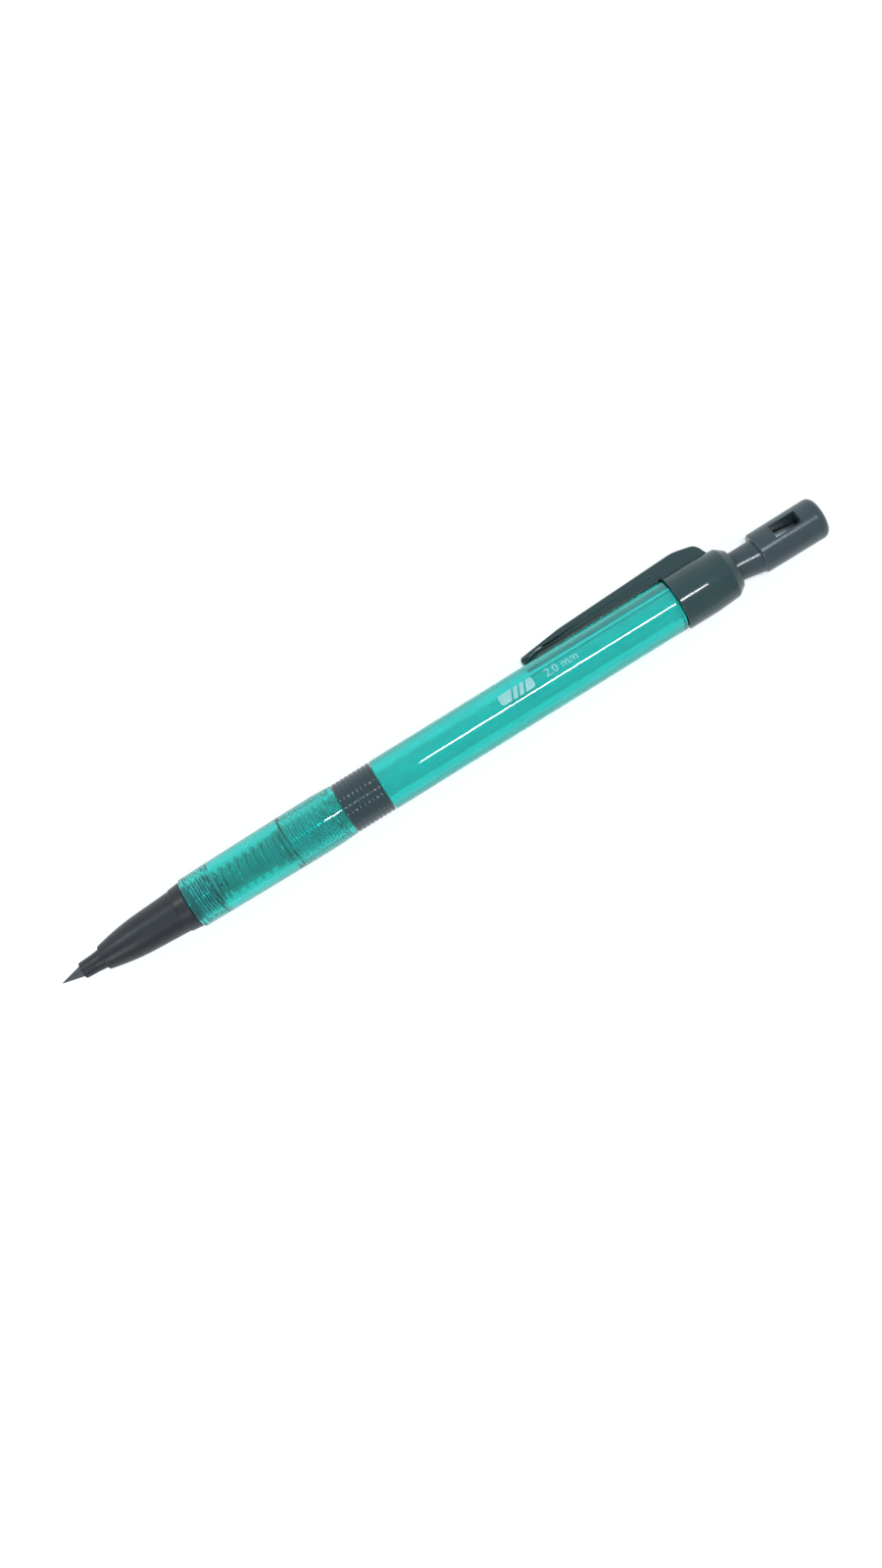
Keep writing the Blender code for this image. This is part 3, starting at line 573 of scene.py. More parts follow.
def bush_profile(node, front_bore, rear_bore, edge):
    """Plain outside with rounded ends and a bore that may taper."""
    start, end, radius = front(node), rear(node), girth(node)
    outside = [(start, radius, edge), (end, radius, edge)]
    return rounded([(start, front_bore, 0), *outside, (end, rear_bore, 0)])



LEAD_CONE = 3.9 * MM
LEAD_POINT = 0.06 * MM
LEAD_TIP = 0.04 * MM
LEAD_FACET = 0.3 * MM
LEAD_SHOULDER = 1 * MM
LEAD_BORE = 1.15 * MM


class HOLDER_OT_lead(bpy.types.Operator):
    """Makes the lead with its shaved point"""

    bl_idname = "holder.lead"
    bl_label = "Lead"

    def execute(self, context):
        tip, end, radius = front("lead"), rear("lead"), girth("lead")
        cone = rows(tip + LEAD_TIP, tip + LEAD_CONE, radius, LEAD_FACET)
        profile = [(tip, 0), (tip + LEAD_TIP / 4, LEAD_POINT * 0.7)]
        for point in cone:
            share = (point.x - tip) / LEAD_CONE
            profile.append((point.x, LEAD_POINT + (radius - LEAD_POINT) * share))
        shoulder = tip + LEAD_CONE + LEAD_SHOULDER
        profile += rounded([(shoulder, radius, 0), (end, radius, 0.1 * MM), (end, 0, 0)])
        settle(as_object(spun(profile, closed=False), "graphite_lead"), "lead", "lead", graphite())
        return {"FINISHED"}


# Outer radius of the body's threads, on the nose's stub and the barrel's front spigot
THREAD_RADIUS = 3.2 * MM
SLEEVE_LENGTH = 4.0 * MM
SLEEVE_TIP_LENGTH = 2.4 * MM
SLEEVE_TIP_RADIUS = 1.44 * MM
SLEEVE_RADIUS = 1.56 * MM
SLEEVE_REAR_RADIUS = 1.74 * MM
SHOULDER_RADIUS = 2.16 * MM
SHOULDER_SLOPE = 0.06 * MM
OGIVE_LENGTH = 7.5 * MM
OGIVE_START = 0.7 * MM
OGIVE_START_RADIUS = 2.30 * MM
OGIVE_RADIUS = 3.33 * MM
OGIVE_BULGE = 0.13 * MM
NOSE_TAPER_LENGTH = 7.0 * MM
NOSE_REAR_RADIUS = 3.72 * MM
BAND_RADIUS = 3.88 * MM
BAND_SLOPE = 0.12 * MM
STUB_LENGTH = 4.5 * MM
STUB_CHAMFER = 0.2 * MM
NOSE_FRONT_BORE = 2.15 * MM
NOSE_BORE = 2.35 * MM
RETAINER_CLEARANCE = 0.05 * MM
RETAINER_BORE = 1.05 * MM
RETAINER_MOUTH = 1.3 * MM
RETAINER_ROUND = 0.15 * MM
RETAINER_TAPER = 1.0 * MM


def nose_profile():
    """Stepped sleeve, ogive, slight taper, raised band and threaded stub, then the bore back."""
    start, end = front("nose_cone"), rear("nose_cone")
    shoulder = start + SLEEVE_LENGTH
    ogive_end = shoulder + OGIVE_LENGTH
    band = ogive_end + NOSE_TAPER_LENGTH
    stub = end - STUB_LENGTH
    sleeve = rounded([
        (start, LEAD_BORE, 0),
        (start, SLEEVE_TIP_RADIUS, 0.32 * MM),
        (start + SLEEVE_TIP_LENGTH, SLEEVE_RADIUS, 2 * MM),
        (shoulder, SLEEVE_REAR_RADIUS, 0.12 * MM),
        (shoulder + SHOULDER_SLOPE, SHOULDER_RADIUS, 0.16 * MM),
        (shoulder + OGIVE_START, OGIVE_START_RADIUS, 0),
    ])
    ogive = bulged(sleeve[-1], (ogive_end, OGIVE_RADIUS), OGIVE_BULGE, 14)
    body = rounded([
        (ogive_end, OGIVE_RADIUS, 0),
        (band, NOSE_REAR_RADIUS, 0.1 * MM),
        (band + BAND_SLOPE, BAND_RADIUS, 0.12 * MM),
        (stub, girth("nose_cone"), 0.08 * MM),
        (stub, THREAD_RADIUS, 0),
    ])
    thread = rows(stub, end - STUB_CHAMFER, THREAD_RADIUS, sizes().thread_pitch / 10)
    ring, seat = front("clutch_ring") - GAP, rear("lead_retainer")
    pocket = girth("lead_retainer") + RETAINER_CLEARANCE
    bore = [
        (end, THREAD_RADIUS - STUB_CHAMFER),
        (end, NOSE_BORE),
        (ring, NOSE_BORE),
        (ring, NOSE_FRONT_BORE),
        (seat + RETAINER_TAPER, NOSE_FRONT_BORE),
        (seat + GAP, pocket),
        (front("lead_retainer") - GAP, pocket),
        (front("lead_retainer") - GAP, LEAD_BORE),
    ]
    return [*sleeve, *ogive, *body[:-1], *thread, *bore]


class HOLDER_OT_nose(bpy.types.Operator):
    """Makes the nose cone with its threaded stub, and the lead retainer in it"""

    bl_idname = "holder.nose"
    bl_label = "Nose cone"

    def execute(self, context):
        end = rear("nose_cone")
        shape = spun(nose_profile())
        cut_thread(shape, end - STUB_LENGTH + GAP, end - STUB_CHAMFER, THREAD_RADIUS, 1)
        nose = as_object(shape, "moulded_nose_cone")
        black = black_plastic("semi_gloss_black_abs", colours().nose, 0.36, 0.46, 0.003 * MM)
        settle(nose, "nose_cone", "holder", black)
        start, end, radius = front("lead_retainer"), rear("lead_retainer"), girth("lead_retainer")
        ring = rounded([
            (start, RETAINER_MOUTH, 0),
            (start, radius, RETAINER_ROUND),
            (end, radius, RETAINER_ROUND),
            (end, RETAINER_BORE, RETAINER_ROUND),
            (start, RETAINER_BORE, RETAINER_ROUND),
            (start, RETAINER_MOUTH, 0),
        ])[:-1]
        retainer = as_object(spun(ring), "rubber_lead_retainer")
        settle(retainer, "lead_retainer", "holder", soft_rubber())
        return {"FINISHED"}


JAW_HEAD = 1.5 * MM
JAW_TAPER = 2.7 * MM
JAW_SLIT_LENGTH = 13.5 * MM
JAW_SLIT_WIDTH = 0.35 * MM
JAW_SHANK = 1.55 * MM
JAW_BORE = 1.05 * MM
RING_FRONT_BORE = 2.02 * MM
RING_REAR_BORE = 1.65 * MM
SEAT_BORE = 1.6 * MM
SEAT_SLEEVE = 2.2 * MM
SEAT_TAIL = 1.6 * MM
FLANGE_START = 10.2 * MM
FLANGE_LENGTH = 0.8 * MM


def jaws_shape():
    """Bored head, taper and shank, slit three ways from the front."""
    start, end, head = front("clutch_jaws"), rear("clutch_jaws"), girth("clutch_jaws")
    profile = rounded([
        (start, JAW_BORE, 0),
        (start, head, 0.3 * MM),
        (start + JAW_HEAD, head, 0.1 * MM),
        (start + JAW_HEAD + JAW_TAPER, JAW_SHANK, 0.3 * MM),
        (end, JAW_SHANK, 0.15 * MM),
        (end, JAW_BORE, 0),
    ])
    jaws = as_object(spun(profile), "slit_clutch_jaws")
    reach = 2 * head
    for turn in range(3):
        shape = bmesh.new()
        bmesh.ops.create_cube(shape, size=1.0)
        bmesh.ops.scale(shape, verts=shape.verts, vec=(2 * JAW_SLIT_LENGTH, reach, JAW_SLIT_WIDTH))
        bmesh.ops.translate(shape, verts=shape.verts, vec=(start, reach / 2 + JAW_BORE / 2, 0))
        spin = Matrix.Rotation(math.radians(120 * turn + 90), 3, "X")
        bmesh.ops.rotate(shape, verts=shape.verts, cent=(0, 0, 0), matrix=spin)
        bmesh.ops.translate(shape, verts=shape.verts, vec=(0, AXIS_Y, AXIS_Z))
        jaws = combined(jaws, as_object(shape, f"slit_{turn}"), "DIFFERENCE")
    return jaws


def seat_profile():
    """Sleeve, flange and tail of the spring seat, then its stepped bore."""
    start, end = front("spring_seat"), rear("spring_seat")
    flange = start + FLANGE_START
    bore_end = rear("clutch_jaws") + GAP
    return rounded([
        (start, SEAT_BORE, 0),
        (start, SEAT_SLEEVE, 0.2 * MM),
        (flange, SEAT_SLEEVE, 0.1 * MM),
        (flange, girth("spring_seat"), 0.12 * MM),
        (flange + FLANGE_LENGTH, girth("spring_seat"), 0.12 * MM),
        (flange + FLANGE_LENGTH, SEAT_TAIL, 0.1 * MM),
        (end, SEAT_TAIL, 0.15 * MM),
        (end, LEAD_BORE, 0),
        (bore_end, LEAD_BORE, 0),
        (bore_end, SEAT_BORE, 0),
    ], steps=4)


class HOLDER_OT_clutch(bpy.types.Operator):
    """Makes the slit jaws, the ring that closes them and the flanged seat behind them"""

    bl_idname = "holder.clutch"
    bl_label = "Clutch"

    def execute(self, context):
        metal = turned_metal("nickel_plated_brass", colours().plating, 0.14, 0.26, 0.06 * MM, 0.003 * MM)
        settle(jaws_shape(), "clutch_jaws", "pusher", metal)
        profile = bush_profile("clutch_ring", RING_FRONT_BORE, RING_REAR_BORE, 0.15 * MM)
        settle(as_object(spun(profile), "brass_clutch_ring"), "clutch_ring", "holder", metal)
        settle(as_object(spun(seat_profile()), "brass_spring_seat"), "spring_seat", "pusher", metal)
        return {"FINISHED"}


SPRING_STEPS = 40
WIRE_SIDES = 14
CLOSED_PITCH = 0.56 * MM
FRONT_TURNS = 1.25
REAR_TURNS = 2.5
OPEN_TURNS = 6.5


class HOLDER_OT_spring(bpy.types.Operator):
    """Makes the return spring, with closed turns at both ends"""

    bl_idname = "holder.spring"
    bl_label = "Return spring"

    def execute(self, context):
        wire = sizes().wire
        start, end = front("return_spring") + wire / 2, rear("return_spring") - wire / 2
        radius = girth("return_spring") - wire / 2
        open_length = end - start - (FRONT_TURNS + REAR_TURNS) * CLOSED_PITCH
        stretches = (
            (FRONT_TURNS, FRONT_TURNS * CLOSED_PITCH),
            (OPEN_TURNS, open_length),
            (REAR_TURNS, REAR_TURNS * CLOSED_PITCH),
        )
        shape = bmesh.new()
        ring = bmesh.ops.create_circle(shape, segments=WIRE_SIDES, radius=wire / 2)["verts"]
        bmesh.ops.rotate(shape, verts=ring, cent=(0, 0, 0), matrix=Matrix.Rotation(math.pi / 2, 3, "X"))
        bmesh.ops.translate(shape, verts=ring, vec=around(start, radius, 0))
        section = list({edge for vert in ring for edge in vert.link_edges})
        bmesh.ops.contextual_create(shape, geom=section)
        for turns, run in stretches:
            steps = round(turns * SPRING_STEPS)
            swept = bmesh.ops.spin(
                shape,
                geom=section,
                cent=(0, AXIS_Y, AXIS_Z),
                axis=(-1, 0, 0),
                dvec=(run / steps, 0, 0),
                angle=2 * math.pi * turns,
                steps=steps,
            )
            section = [item for item in swept["geom_last"] if isinstance(item, bmesh.types.BMEdge)]
        bmesh.ops.contextual_create(shape, geom=section)
        bmesh.ops.remove_doubles(shape, verts=shape.verts, dist=1e-7)
        bmesh.ops.recalc_face_normals(shape, faces=shape.faces)
        spring = as_object(shape, "steel_return_spring", sharp=60)
        metal = turned_metal("drawn_spring_steel", colours().steel, 0.05, 0.12, 0.05 * MM, 0.0008 * MM)
        settle(spring, "return_spring", None, metal)
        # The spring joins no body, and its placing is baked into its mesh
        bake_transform(spring)
        return {"FINISHED"}


GRIP_BORE = 3.3 * MM
GRIP_FRONT_RADIUS = 4.40 * MM
GRIP_REAR_RADIUS = 4.47 * MM
GRIP_REAR_TAPER = 3.6 * MM
GRIP_EDGE_LENGTH = 1.2 * MM
GRIP_EDGE_RISE = 0.01 * MM
GRIP_BULGE = 0.04 * MM
# How far the front thread runs on past the nose's stub, and the plain stretch after it
THREAD_RUN_ON = 1.2 * MM
PLAIN_START = 1.5 * MM
PLAIN_END = 0.5 * MM
# Plain ends of the bore before the front thread and after the rear one
FRONT_PLAIN = 0.4 * MM
REAR_PLAIN = 0.6 * MM
GRIP_CROWN_SETBACK = 7.5 * MM


def grip_profile():
    """Crowned outside with small rounded ends, then the bore back, dense where it is threaded."""
    start, end, crown = front("grip"), rear("grip"), girth("grip")
    step = sizes().thread_pitch / 10
    top = end - GRIP_CROWN_SETBACK
    nose_end = rear("nose_cone")
    spigot = front("barrel")
    outside = rounded([
        (start, GRIP_BORE, 0),
        (start, GRIP_FRONT_RADIUS, 0.28 * MM),
        (start + GRIP_EDGE_LENGTH, GRIP_FRONT_RADIUS + GRIP_EDGE_RISE, 0),
    ])
    outside += bulged(outside[-1], (top, crown), GRIP_BULGE, 16)
    outside += rounded([
        (top, crown, 0),
        (end - GRIP_REAR_TAPER, crown, 8 * MM),
        (end, GRIP_REAR_RADIUS, 0.22 * MM),
        (end, GRIP_BORE, 0),
    ])
    bore = [
        *rows(end - GAP, spigot, GRIP_BORE, step),
        *rows(spigot - PLAIN_END, nose_end + PLAIN_START, GRIP_BORE, 1 * MM),
        *rows(nose_end + THREAD_RUN_ON, start + GAP, GRIP_BORE, step),
    ]
    return [*outside, *bore]


class HOLDER_OT_grip(bpy.types.Operator):
    """Makes the crowned grip, threaded inside at both ends"""

    bl_idname = "holder.grip"
    bl_label = "Grip"

    def execute(self, context):
        shape = spun(grip_profile())
        thread_end = rear("nose_cone") + THREAD_RUN_ON - GAP
        cut_thread(shape, front("grip") + FRONT_PLAIN, thread_end, GRIP_BORE, -1)
        cut_thread(shape, front("barrel"), rear("grip") - REAR_PLAIN, GRIP_BORE, -1)
        plastic = clear_teal_plastic("polished_teal_polystyrene", 0.92, 190.0)
        settle(as_object(shape, "clear_teal_grip"), "grip", "holder", plastic)
        return {"FINISHED"}


RING_BORE = 3.6 * MM
RIB_STEPS = 8


class HOLDER_OT_ring(bpy.types.Operator):
    """Makes the ribbed ring between grip and barrel"""

    bl_idname = "holder.ring"
    bl_label = "Ribbed ring"

    def execute(self, context):
        start, end, radius = front("grip_ring"), rear("grip_ring"), girth("grip_ring")
        count = round((end - start) / sizes().rib_pitch)
        pitch = (end - start) / count
        outside = []
        for rib in range(count):
            for step in range(RIB_STEPS):
                share = step / RIB_STEPS
                drop = sizes().rib_depth * (1 - math.sin(math.pi * share))
                outside.append((start + (rib + share) * pitch, radius - drop))
        outside.append((end, radius - sizes().rib_depth))
        bore = [(end, RING_BORE), (start, RING_BORE)]
        ring = as_object(spun([*outside, *bore]), "ribbed_ring", sharp=60)
        black = black_plastic("ribbed_black_abs", colours().ring, 0.06, 0.12, 0.001 * MM)
        settle(ring, "grip_ring", "holder", black)
        return {"FINISHED"}


REGISTER_RADIUS = 3.5 * MM
BARREL_BORE = 2.60 * MM
BARREL_FRONT = 8 * MM
WELL_BORE = 2.80 * MM
REAR_SPIGOT_RADIUS = 3.60 * MM
REAR_SPIGOT_LENGTH = 8.0 * MM
WELL_DEPTH = 2.2 * MM
SPIGOT_CHAMFER = 0.2 * MM
SPIGOT_TIP_STEP = 0.25 * MM
THREAD_SETBACK = 0.3 * MM


def barrel_profile():
    """Threaded front spigot, register, body and rear spigot, then the bore back."""
    start, end, radius = front("barrel"), rear("barrel"), girth("barrel")
    step = sizes().thread_pitch / 10
    body = rear("grip_ring") + GAP
    collar = end - REAR_SPIGOT_LENGTH
    register = rear("grip") + GAP
    outside = [
        (start, THREAD_RADIUS - SPIGOT_TIP_STEP),
        *rows(start + SPIGOT_CHAMFER, register - THREAD_SETBACK, THREAD_RADIUS, step),
        (register, THREAD_RADIUS),
        (register, REGISTER_RADIUS),
        *rounded([
            (body, REGISTER_RADIUS, 0),
            (body, radius, 0.25 * MM),
            (body + BARREL_FRONT, radius, 0),
            (collar, radius, 0.45 * MM),
            (collar, REAR_SPIGOT_RADIUS, 0),
        ]),
    ]
    inside = [
        (end - SPIGOT_CHAMFER, REAR_SPIGOT_RADIUS),
        (end, REAR_SPIGOT_RADIUS - SPIGOT_CHAMFER),
        (end, WELL_BORE),
        (end - WELL_DEPTH, WELL_BORE),
        (end - WELL_DEPTH - SPIGOT_CHAMFER, BARREL_BORE),
        (start, BARREL_BORE),
    ]
    return [*outside, *inside]


# Stamped markings: a plain bar and the size of the lead
MARK_START = 11.9 * MM
MARK_LENGTH = 6.4 * MM
MARK_ROLL = math.radians(19)
MARK_HEIGHT = 1.9 * MM
MARK_THICKNESS = 0.012 * MM
MARK_ROUND = 0.5 * MM
MARK_LIFT = 0.004 * MM
MARK_SLANT = 0.45
MARK_GAP = 0.35 * MM
MARK_GAPS = (-0.12, 0.06, 0.24)
MARK_FACETS = 8
FIGURES_START = 20.4 * MM
FIGURES_HEIGHT = 1.5 * MM
FIGURES_ROLL = math.radians(20)
FIGURES_LIFT = 0.01 * MM
HEIGHT_TO_SIZE = 1.35


def wrapped(shape, x, roll, radius):
    """Lays a flat shape drawn in X and Y round the barrel; its Z becomes height above the surface."""
    for vert in shape.verts:
        vert.co = around(x + vert.co.x, radius + vert.co.z, roll + vert.co.y / radius)


def cut_across(shape, point, facing):
    """Cuts every face that a plane through a point passes, and keeps both sides."""
    everything = [*shape.verts, *shape.edges, *shape.faces]
    bmesh.ops.bisect_plane(shape, geom=everything, dist=1e-7, plane_co=point, plane_no=facing)


def bar_shape():
    """Bar with rounded corners and three slanted gaps, as foil of even thickness."""
    shape = bmesh.new()
    bmesh.ops.create_grid(shape, x_segments=1, y_segments=1, size=0.5)
    bmesh.ops.scale(shape, verts=shape.verts, vec=(MARK_LENGTH, MARK_HEIGHT, 1))
    eased(shape, list(shape.verts), MARK_ROUND, 5, "VERTICES")
    for share in MARK_GAPS:
        place = MARK_LENGTH * share
        for side in (-0.5, 0.5):
            cut_across(shape, (place + side * MARK_GAP, 0, 0), (1, -MARK_SLANT, 0))
        centres = [(face, face.calc_center_median()) for face in shape.faces]
        gone = [face for face, c in centres if abs(c.x - MARK_SLANT * c.y - place) < 0.49 * MARK_GAP]
        bmesh.ops.delete(shape, geom=gone, context="FACES")
    for step in range(1, MARK_FACETS):
        cut_across(shape, (0, MARK_HEIGHT * (step / MARK_FACETS - 0.5), 0), (0, 1, 0))
    faces = list(shape.faces)
    raised = bmesh.ops.extrude_face_region(shape, geom=faces)["geom"]
    lifted = [item for item in raised if isinstance(item, bmesh.types.BMVert)]
    bmesh.ops.translate(shape, verts=lifted, vec=(0, 0, MARK_THICKNESS))
    bmesh.ops.recalc_face_normals(shape, faces=shape.faces)
    bmesh.ops.translate(shape, verts=shape.verts, vec=(MARK_LENGTH / 2, 0, MARK_LIFT))
    return shape


def figures_shape():
    """The lead's size in plain figures."""
    text = bpy.data.curves.new("figures", "FONT")
    text.body = "2.0 mm"
    text.size = FIGURES_HEIGHT * HEIGHT_TO_SIZE
    text.extrude = MARK_THICKNESS / 2
    text.resolution_u = 4
    holder = bpy.data.objects.new("figures", text)
    bpy.context.scene.collection.objects.link(holder)
    bpy.context.view_layer.update()
    mesh = bpy.data.meshes.new_from_object(holder.evaluated_get(bpy.context.evaluated_depsgraph_get()))
    bpy.data.objects.remove(holder, do_unlink=True)
    shape = bmesh.new()
    shape.from_mesh(mesh)
    bpy.data.meshes.remove(mesh)
    bmesh.ops.remove_doubles(shape, verts=shape.verts, dist=1e-7)
    bmesh.ops.translate(shape, verts=shape.verts, vec=(0, -FIGURES_HEIGHT / 2, FIGURES_LIFT))
    return shape


class HOLDER_OT_barrel(bpy.types.Operator):
    """Makes the thick-walled barrel and the foil markings on it"""

    bl_idname = "holder.barrel"
    bl_label = "Barrel"

    def execute(self, context):
        shape = spun(barrel_profile())
        spigot_end = rear("grip") - THREAD_SETBACK
        cut_thread(shape, front("barrel") + SPIGOT_CHAMFER, spigot_end, THREAD_RADIUS, 1)
        plastic = clear_teal_plastic("hazy_teal_polystyrene", 0.83, 135.0)
        settle(as_object(shape, "clear_teal_barrel"), "barrel", "holder", plastic)
        foil = silver_foil()
        marks = (
            ("foil_bar", bar_shape(), MARK_START, MARK_ROLL),
            ("foil_figures", figures_shape(), FIGURES_START, FIGURES_ROLL),
        )
        for name, mark, x, roll in marks:
            wrapped(mark, x, roll, girth("barrel"))
            piece = as_object(mark, name)
            piece.data.materials.append(foil)
            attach(piece, "holder")
        return {"FINISHED"}


TUBE_BORE = 1.65 * MM


class HOLDER_OT_tube(bpy.types.Operator):
    """Makes the long lead tube inside the barrel"""

    bl_idname = "holder.tube"
    bl_label = "Lead tube"

    def execute(self, context):
        profile = bush_profile("lead_tube", TUBE_BORE, TUBE_BORE, 0.12 * MM)
        settle(as_object(spun(profile), "natural_lead_tube"), "lead_tube", "pusher", natural_plastic())
        return {"FINISHED"}


CLIP_ROLL = math.radians(112.5)
CLIP_EDGE = 0.4 * MM
COLLAR_RADIUS = 4.75 * MM
COLLAR_REAR_RADIUS = 4.46 * MM
COLLAR_BORE = 3.7 * MM
COLLAR_PLAIN = 5.5 * MM
COLLAR_FACE = 1.4 * MM
COLLAR_LENGTH = 11.1 * MM
MOUTH_RADIUS = 3.2 * MM
MOUTH_BORE = 2.7 * MM
MOUTH_DEPTH = 2.0 * MM
CLIP_REAR_SETBACK = 2.4 * MM
CLIP_SLICES = 10
CLIP_CROWN = 0.18 * MM
CLIP_GAP = 0.30 * MM
CLIP_TIP_HEIGHT = 1.35 * MM
CLIP_KNEE_LENGTH = 8.0 * MM
CLIP_KNEE_HEIGHT = 2.30 * MM
CLIP_CREST_SETBACK = 4.6 * MM
CLIP_CREST_HEIGHT = 3.10 * MM
CLIP_SHOULDER_SETBACK = 0.8 * MM
CLIP_SHOULDER_HEIGHT = 2.10 * MM
CLIP_ROOT_GAP = 0.70 * MM
CLIP_ROOT_DEPTH = 0.25 * MM
CLIP_ROOT_HEIGHT = 0.55 * MM
CLIP_BEAD_LENGTH = 3.4 * MM
CLIP_TIP_TAPER = 1.3 * MM
CLIP_TIP_SHARE = 0.62
CLIP_TAPER_SHARE = 0.8
CLIP_CROWN_HEIGHT = 1.3 * MM
CLIP_RIM_ANGLE = math.radians(50)


def collar_profile():
    """Plain stretch, taper and rounded rear face of the collar, then its mouth and bore."""
    end = rear("clip_cap")
    start = end - COLLAR_LENGTH
    seat = rear("barrel") + 0.2 * MM
    return rounded([
        (start, COLLAR_BORE, 0),
        (start, COLLAR_RADIUS, 0.3 * MM),
        (start + COLLAR_PLAIN, COLLAR_RADIUS, 6 * MM),
        (end - COLLAR_FACE, COLLAR_REAR_RADIUS, 0.7 * MM),
        (end, MOUTH_RADIUS + 0.2 * MM, 0.15 * MM),
        (end, MOUTH_RADIUS, 0.1 * MM),
        (end - MOUTH_DEPTH, MOUTH_BORE, 0),
        (seat, MOUTH_BORE, 0),
        (seat, COLLAR_BORE, 0),
    ], steps=8)


def clip_outline():
    """Side view of the clip arm: x, distance from the axis, round."""
    barrel = girth("barrel")
    start, end = front("clip_cap"), rear("clip_cap") - CLIP_REAR_SETBACK
    collar = rear("clip_cap") - COLLAR_LENGTH + GAP
    root = COLLAR_BORE + CLIP_ROOT_DEPTH
    return [
        (start, barrel + CLIP_GAP, 0.35 * MM),
        (start, barrel + CLIP_TIP_HEIGHT, 1.2 * MM),
        (start + CLIP_KNEE_LENGTH, barrel + CLIP_KNEE_HEIGHT, 14 * MM),
        (end - CLIP_CREST_SETBACK, barrel + CLIP_CREST_HEIGHT, 7 * MM),
        (end - CLIP_SHOULDER_SETBACK, barrel + CLIP_SHOULDER_HEIGHT, 1.8 * MM),
        (end, COLLAR_BORE + CLIP_ROOT_HEIGHT, 0),
        (end, root, 0),
        (collar, root, 0),
        (collar, barrel + CLIP_ROOT_GAP, 0.6 * MM),
        (start + CLIP_BEAD_LENGTH, barrel + 2 * CLIP_GAP, 2 * MM),
        (start + CLIP_BEAD_LENGTH / 2, barrel + CLIP_GAP, 2 * MM),
    ]


def clip_arm():
    """Arm swept across its width from its side view, narrower and rounded towards the free end."""
    corners = clip_outline()
    loop = rounded([corners[-1], *corners, corners[0]])[1:-1]
    start = front("clip_cap")
    half = sizes().clip_width / 2
    shape = bmesh.new()
    verts = [shape.verts.new((x, distance, -half)) for x, distance in loop]
    shape.faces.new(verts)
    rim = [shape.edges.get(pair) for pair in zip(verts, verts[1:] + verts[:1])]
    for _ in range(CLIP_SLICES):
        raised = bmesh.ops.extrude_edge_only(shape, edges=rim)["geom"]
        rim = [item for item in raised if isinstance(item, bmesh.types.BMEdge)]
        moved = [item for item in raised if isinstance(item, bmesh.types.BMVert)]
        bmesh.ops.translate(shape, verts=moved, vec=(0, 0, 2 * half / CLIP_SLICES))
    bmesh.ops.contextual_create(shape, geom=rim)
    run = rear("clip_cap") - start
    barrel = girth("barrel")
    for vert in shape.verts:
        share = min(1.0, (vert.co.x - start) / (CLIP_TAPER_SHARE * run))
        width = sizes().clip_tip_width + (sizes().clip_width - sizes().clip_tip_width) * share
        tip = min(1.0, (vert.co.x - start) / CLIP_TIP_TAPER)
        width *= CLIP_TIP_SHARE + (1 - CLIP_TIP_SHARE) * math.sqrt(1 - (1 - tip) ** 2)
        level = vert.co.z / half
        if vert.co.y > barrel + CLIP_CROWN_HEIGHT:
            vert.co.y -= CLIP_CROWN * level * level
        vert.co.z = level * width / 2
    bmesh.ops.recalc_face_normals(shape, faces=shape.faces)
    rims = [e for e in shape.edges if len(e.link_faces) == 2 and e.calc_face_angle() > CLIP_RIM_ANGLE]
    eased(shape, rims, CLIP_EDGE, 4)
    for vert in shape.verts:
        vert.co = placed(*vert.co, CLIP_ROLL)
    return as_object(shape, "clip_arm")


class HOLDER_OT_clip_cap(bpy.types.Operator):
    """Makes the collar with the pocket clip moulded on it"""

    bl_idname = "holder.clip_cap"
    bl_label = "Clip cap"

    def execute(self, context):
        collar = as_object(spun(collar_profile()), "glossy_clip_cap")
        cap = combined(collar, clip_arm(), "UNION")
        even_normals(cap)
        # Black plastic whose base colour also carries a painted teal reflection of the barrel
        black = black_plastic("glossy_black_abs_painted_teal_reflection", colours().cap, 0.1, 0.18, 0.002 * MM)
        settle(cap, "clip_cap", "holder", black)
        return {"FINISHED"}


NECK_RADIUS = 2.6 * MM
PLUG_RADIUS = TUBE_BORE - 0.05 * MM
PLUG_LENGTH = 8.0 * MM
CAP_LENGTH = 12.2 * MM
CAP_FRONT_RADIUS = 3.54 * MM
CAP_REAR_RADIUS = 3.62 * MM
CAP_FRONT_ROUND = 0.9 * MM
CAP_REAR_ROUND = 1.3 * MM
FLARE_ROLL = math.radians(-90)
FLARE_START_RADIUS = NECK_RADIUS - 0.05 * MM
FLARE_RADIUS = 3.0 * MM
FLARE_OFFSET = 0.4 * MM
FLARE_SETBACK = 0.5 * MM
SLOT_ROLL = math.radians(30)
SLOT_START = 3.5 * MM
SLOT_LENGTH = 4.8 * MM
SLOT_WIDTH = 2.6 * MM
SLOT_BITE = 0.25 * MM
SLOT_TOP = 8 * MM
BLADE_SIDES = (-0.1 * MM, 1.1 * MM)
BLADE_GAP = 0.06 * MM
BLADE_HEIGHT = 0.40 * MM
BLADE_EDGE = 0.05 * MM
SHARPENER_CONE = 4.2 * MM
SHARPENER_POINT = 0.15 * MM


def slot_front():
    """Where the sharpener's slot starts."""
    return rear("push_button") - CAP_LENGTH + SLOT_START


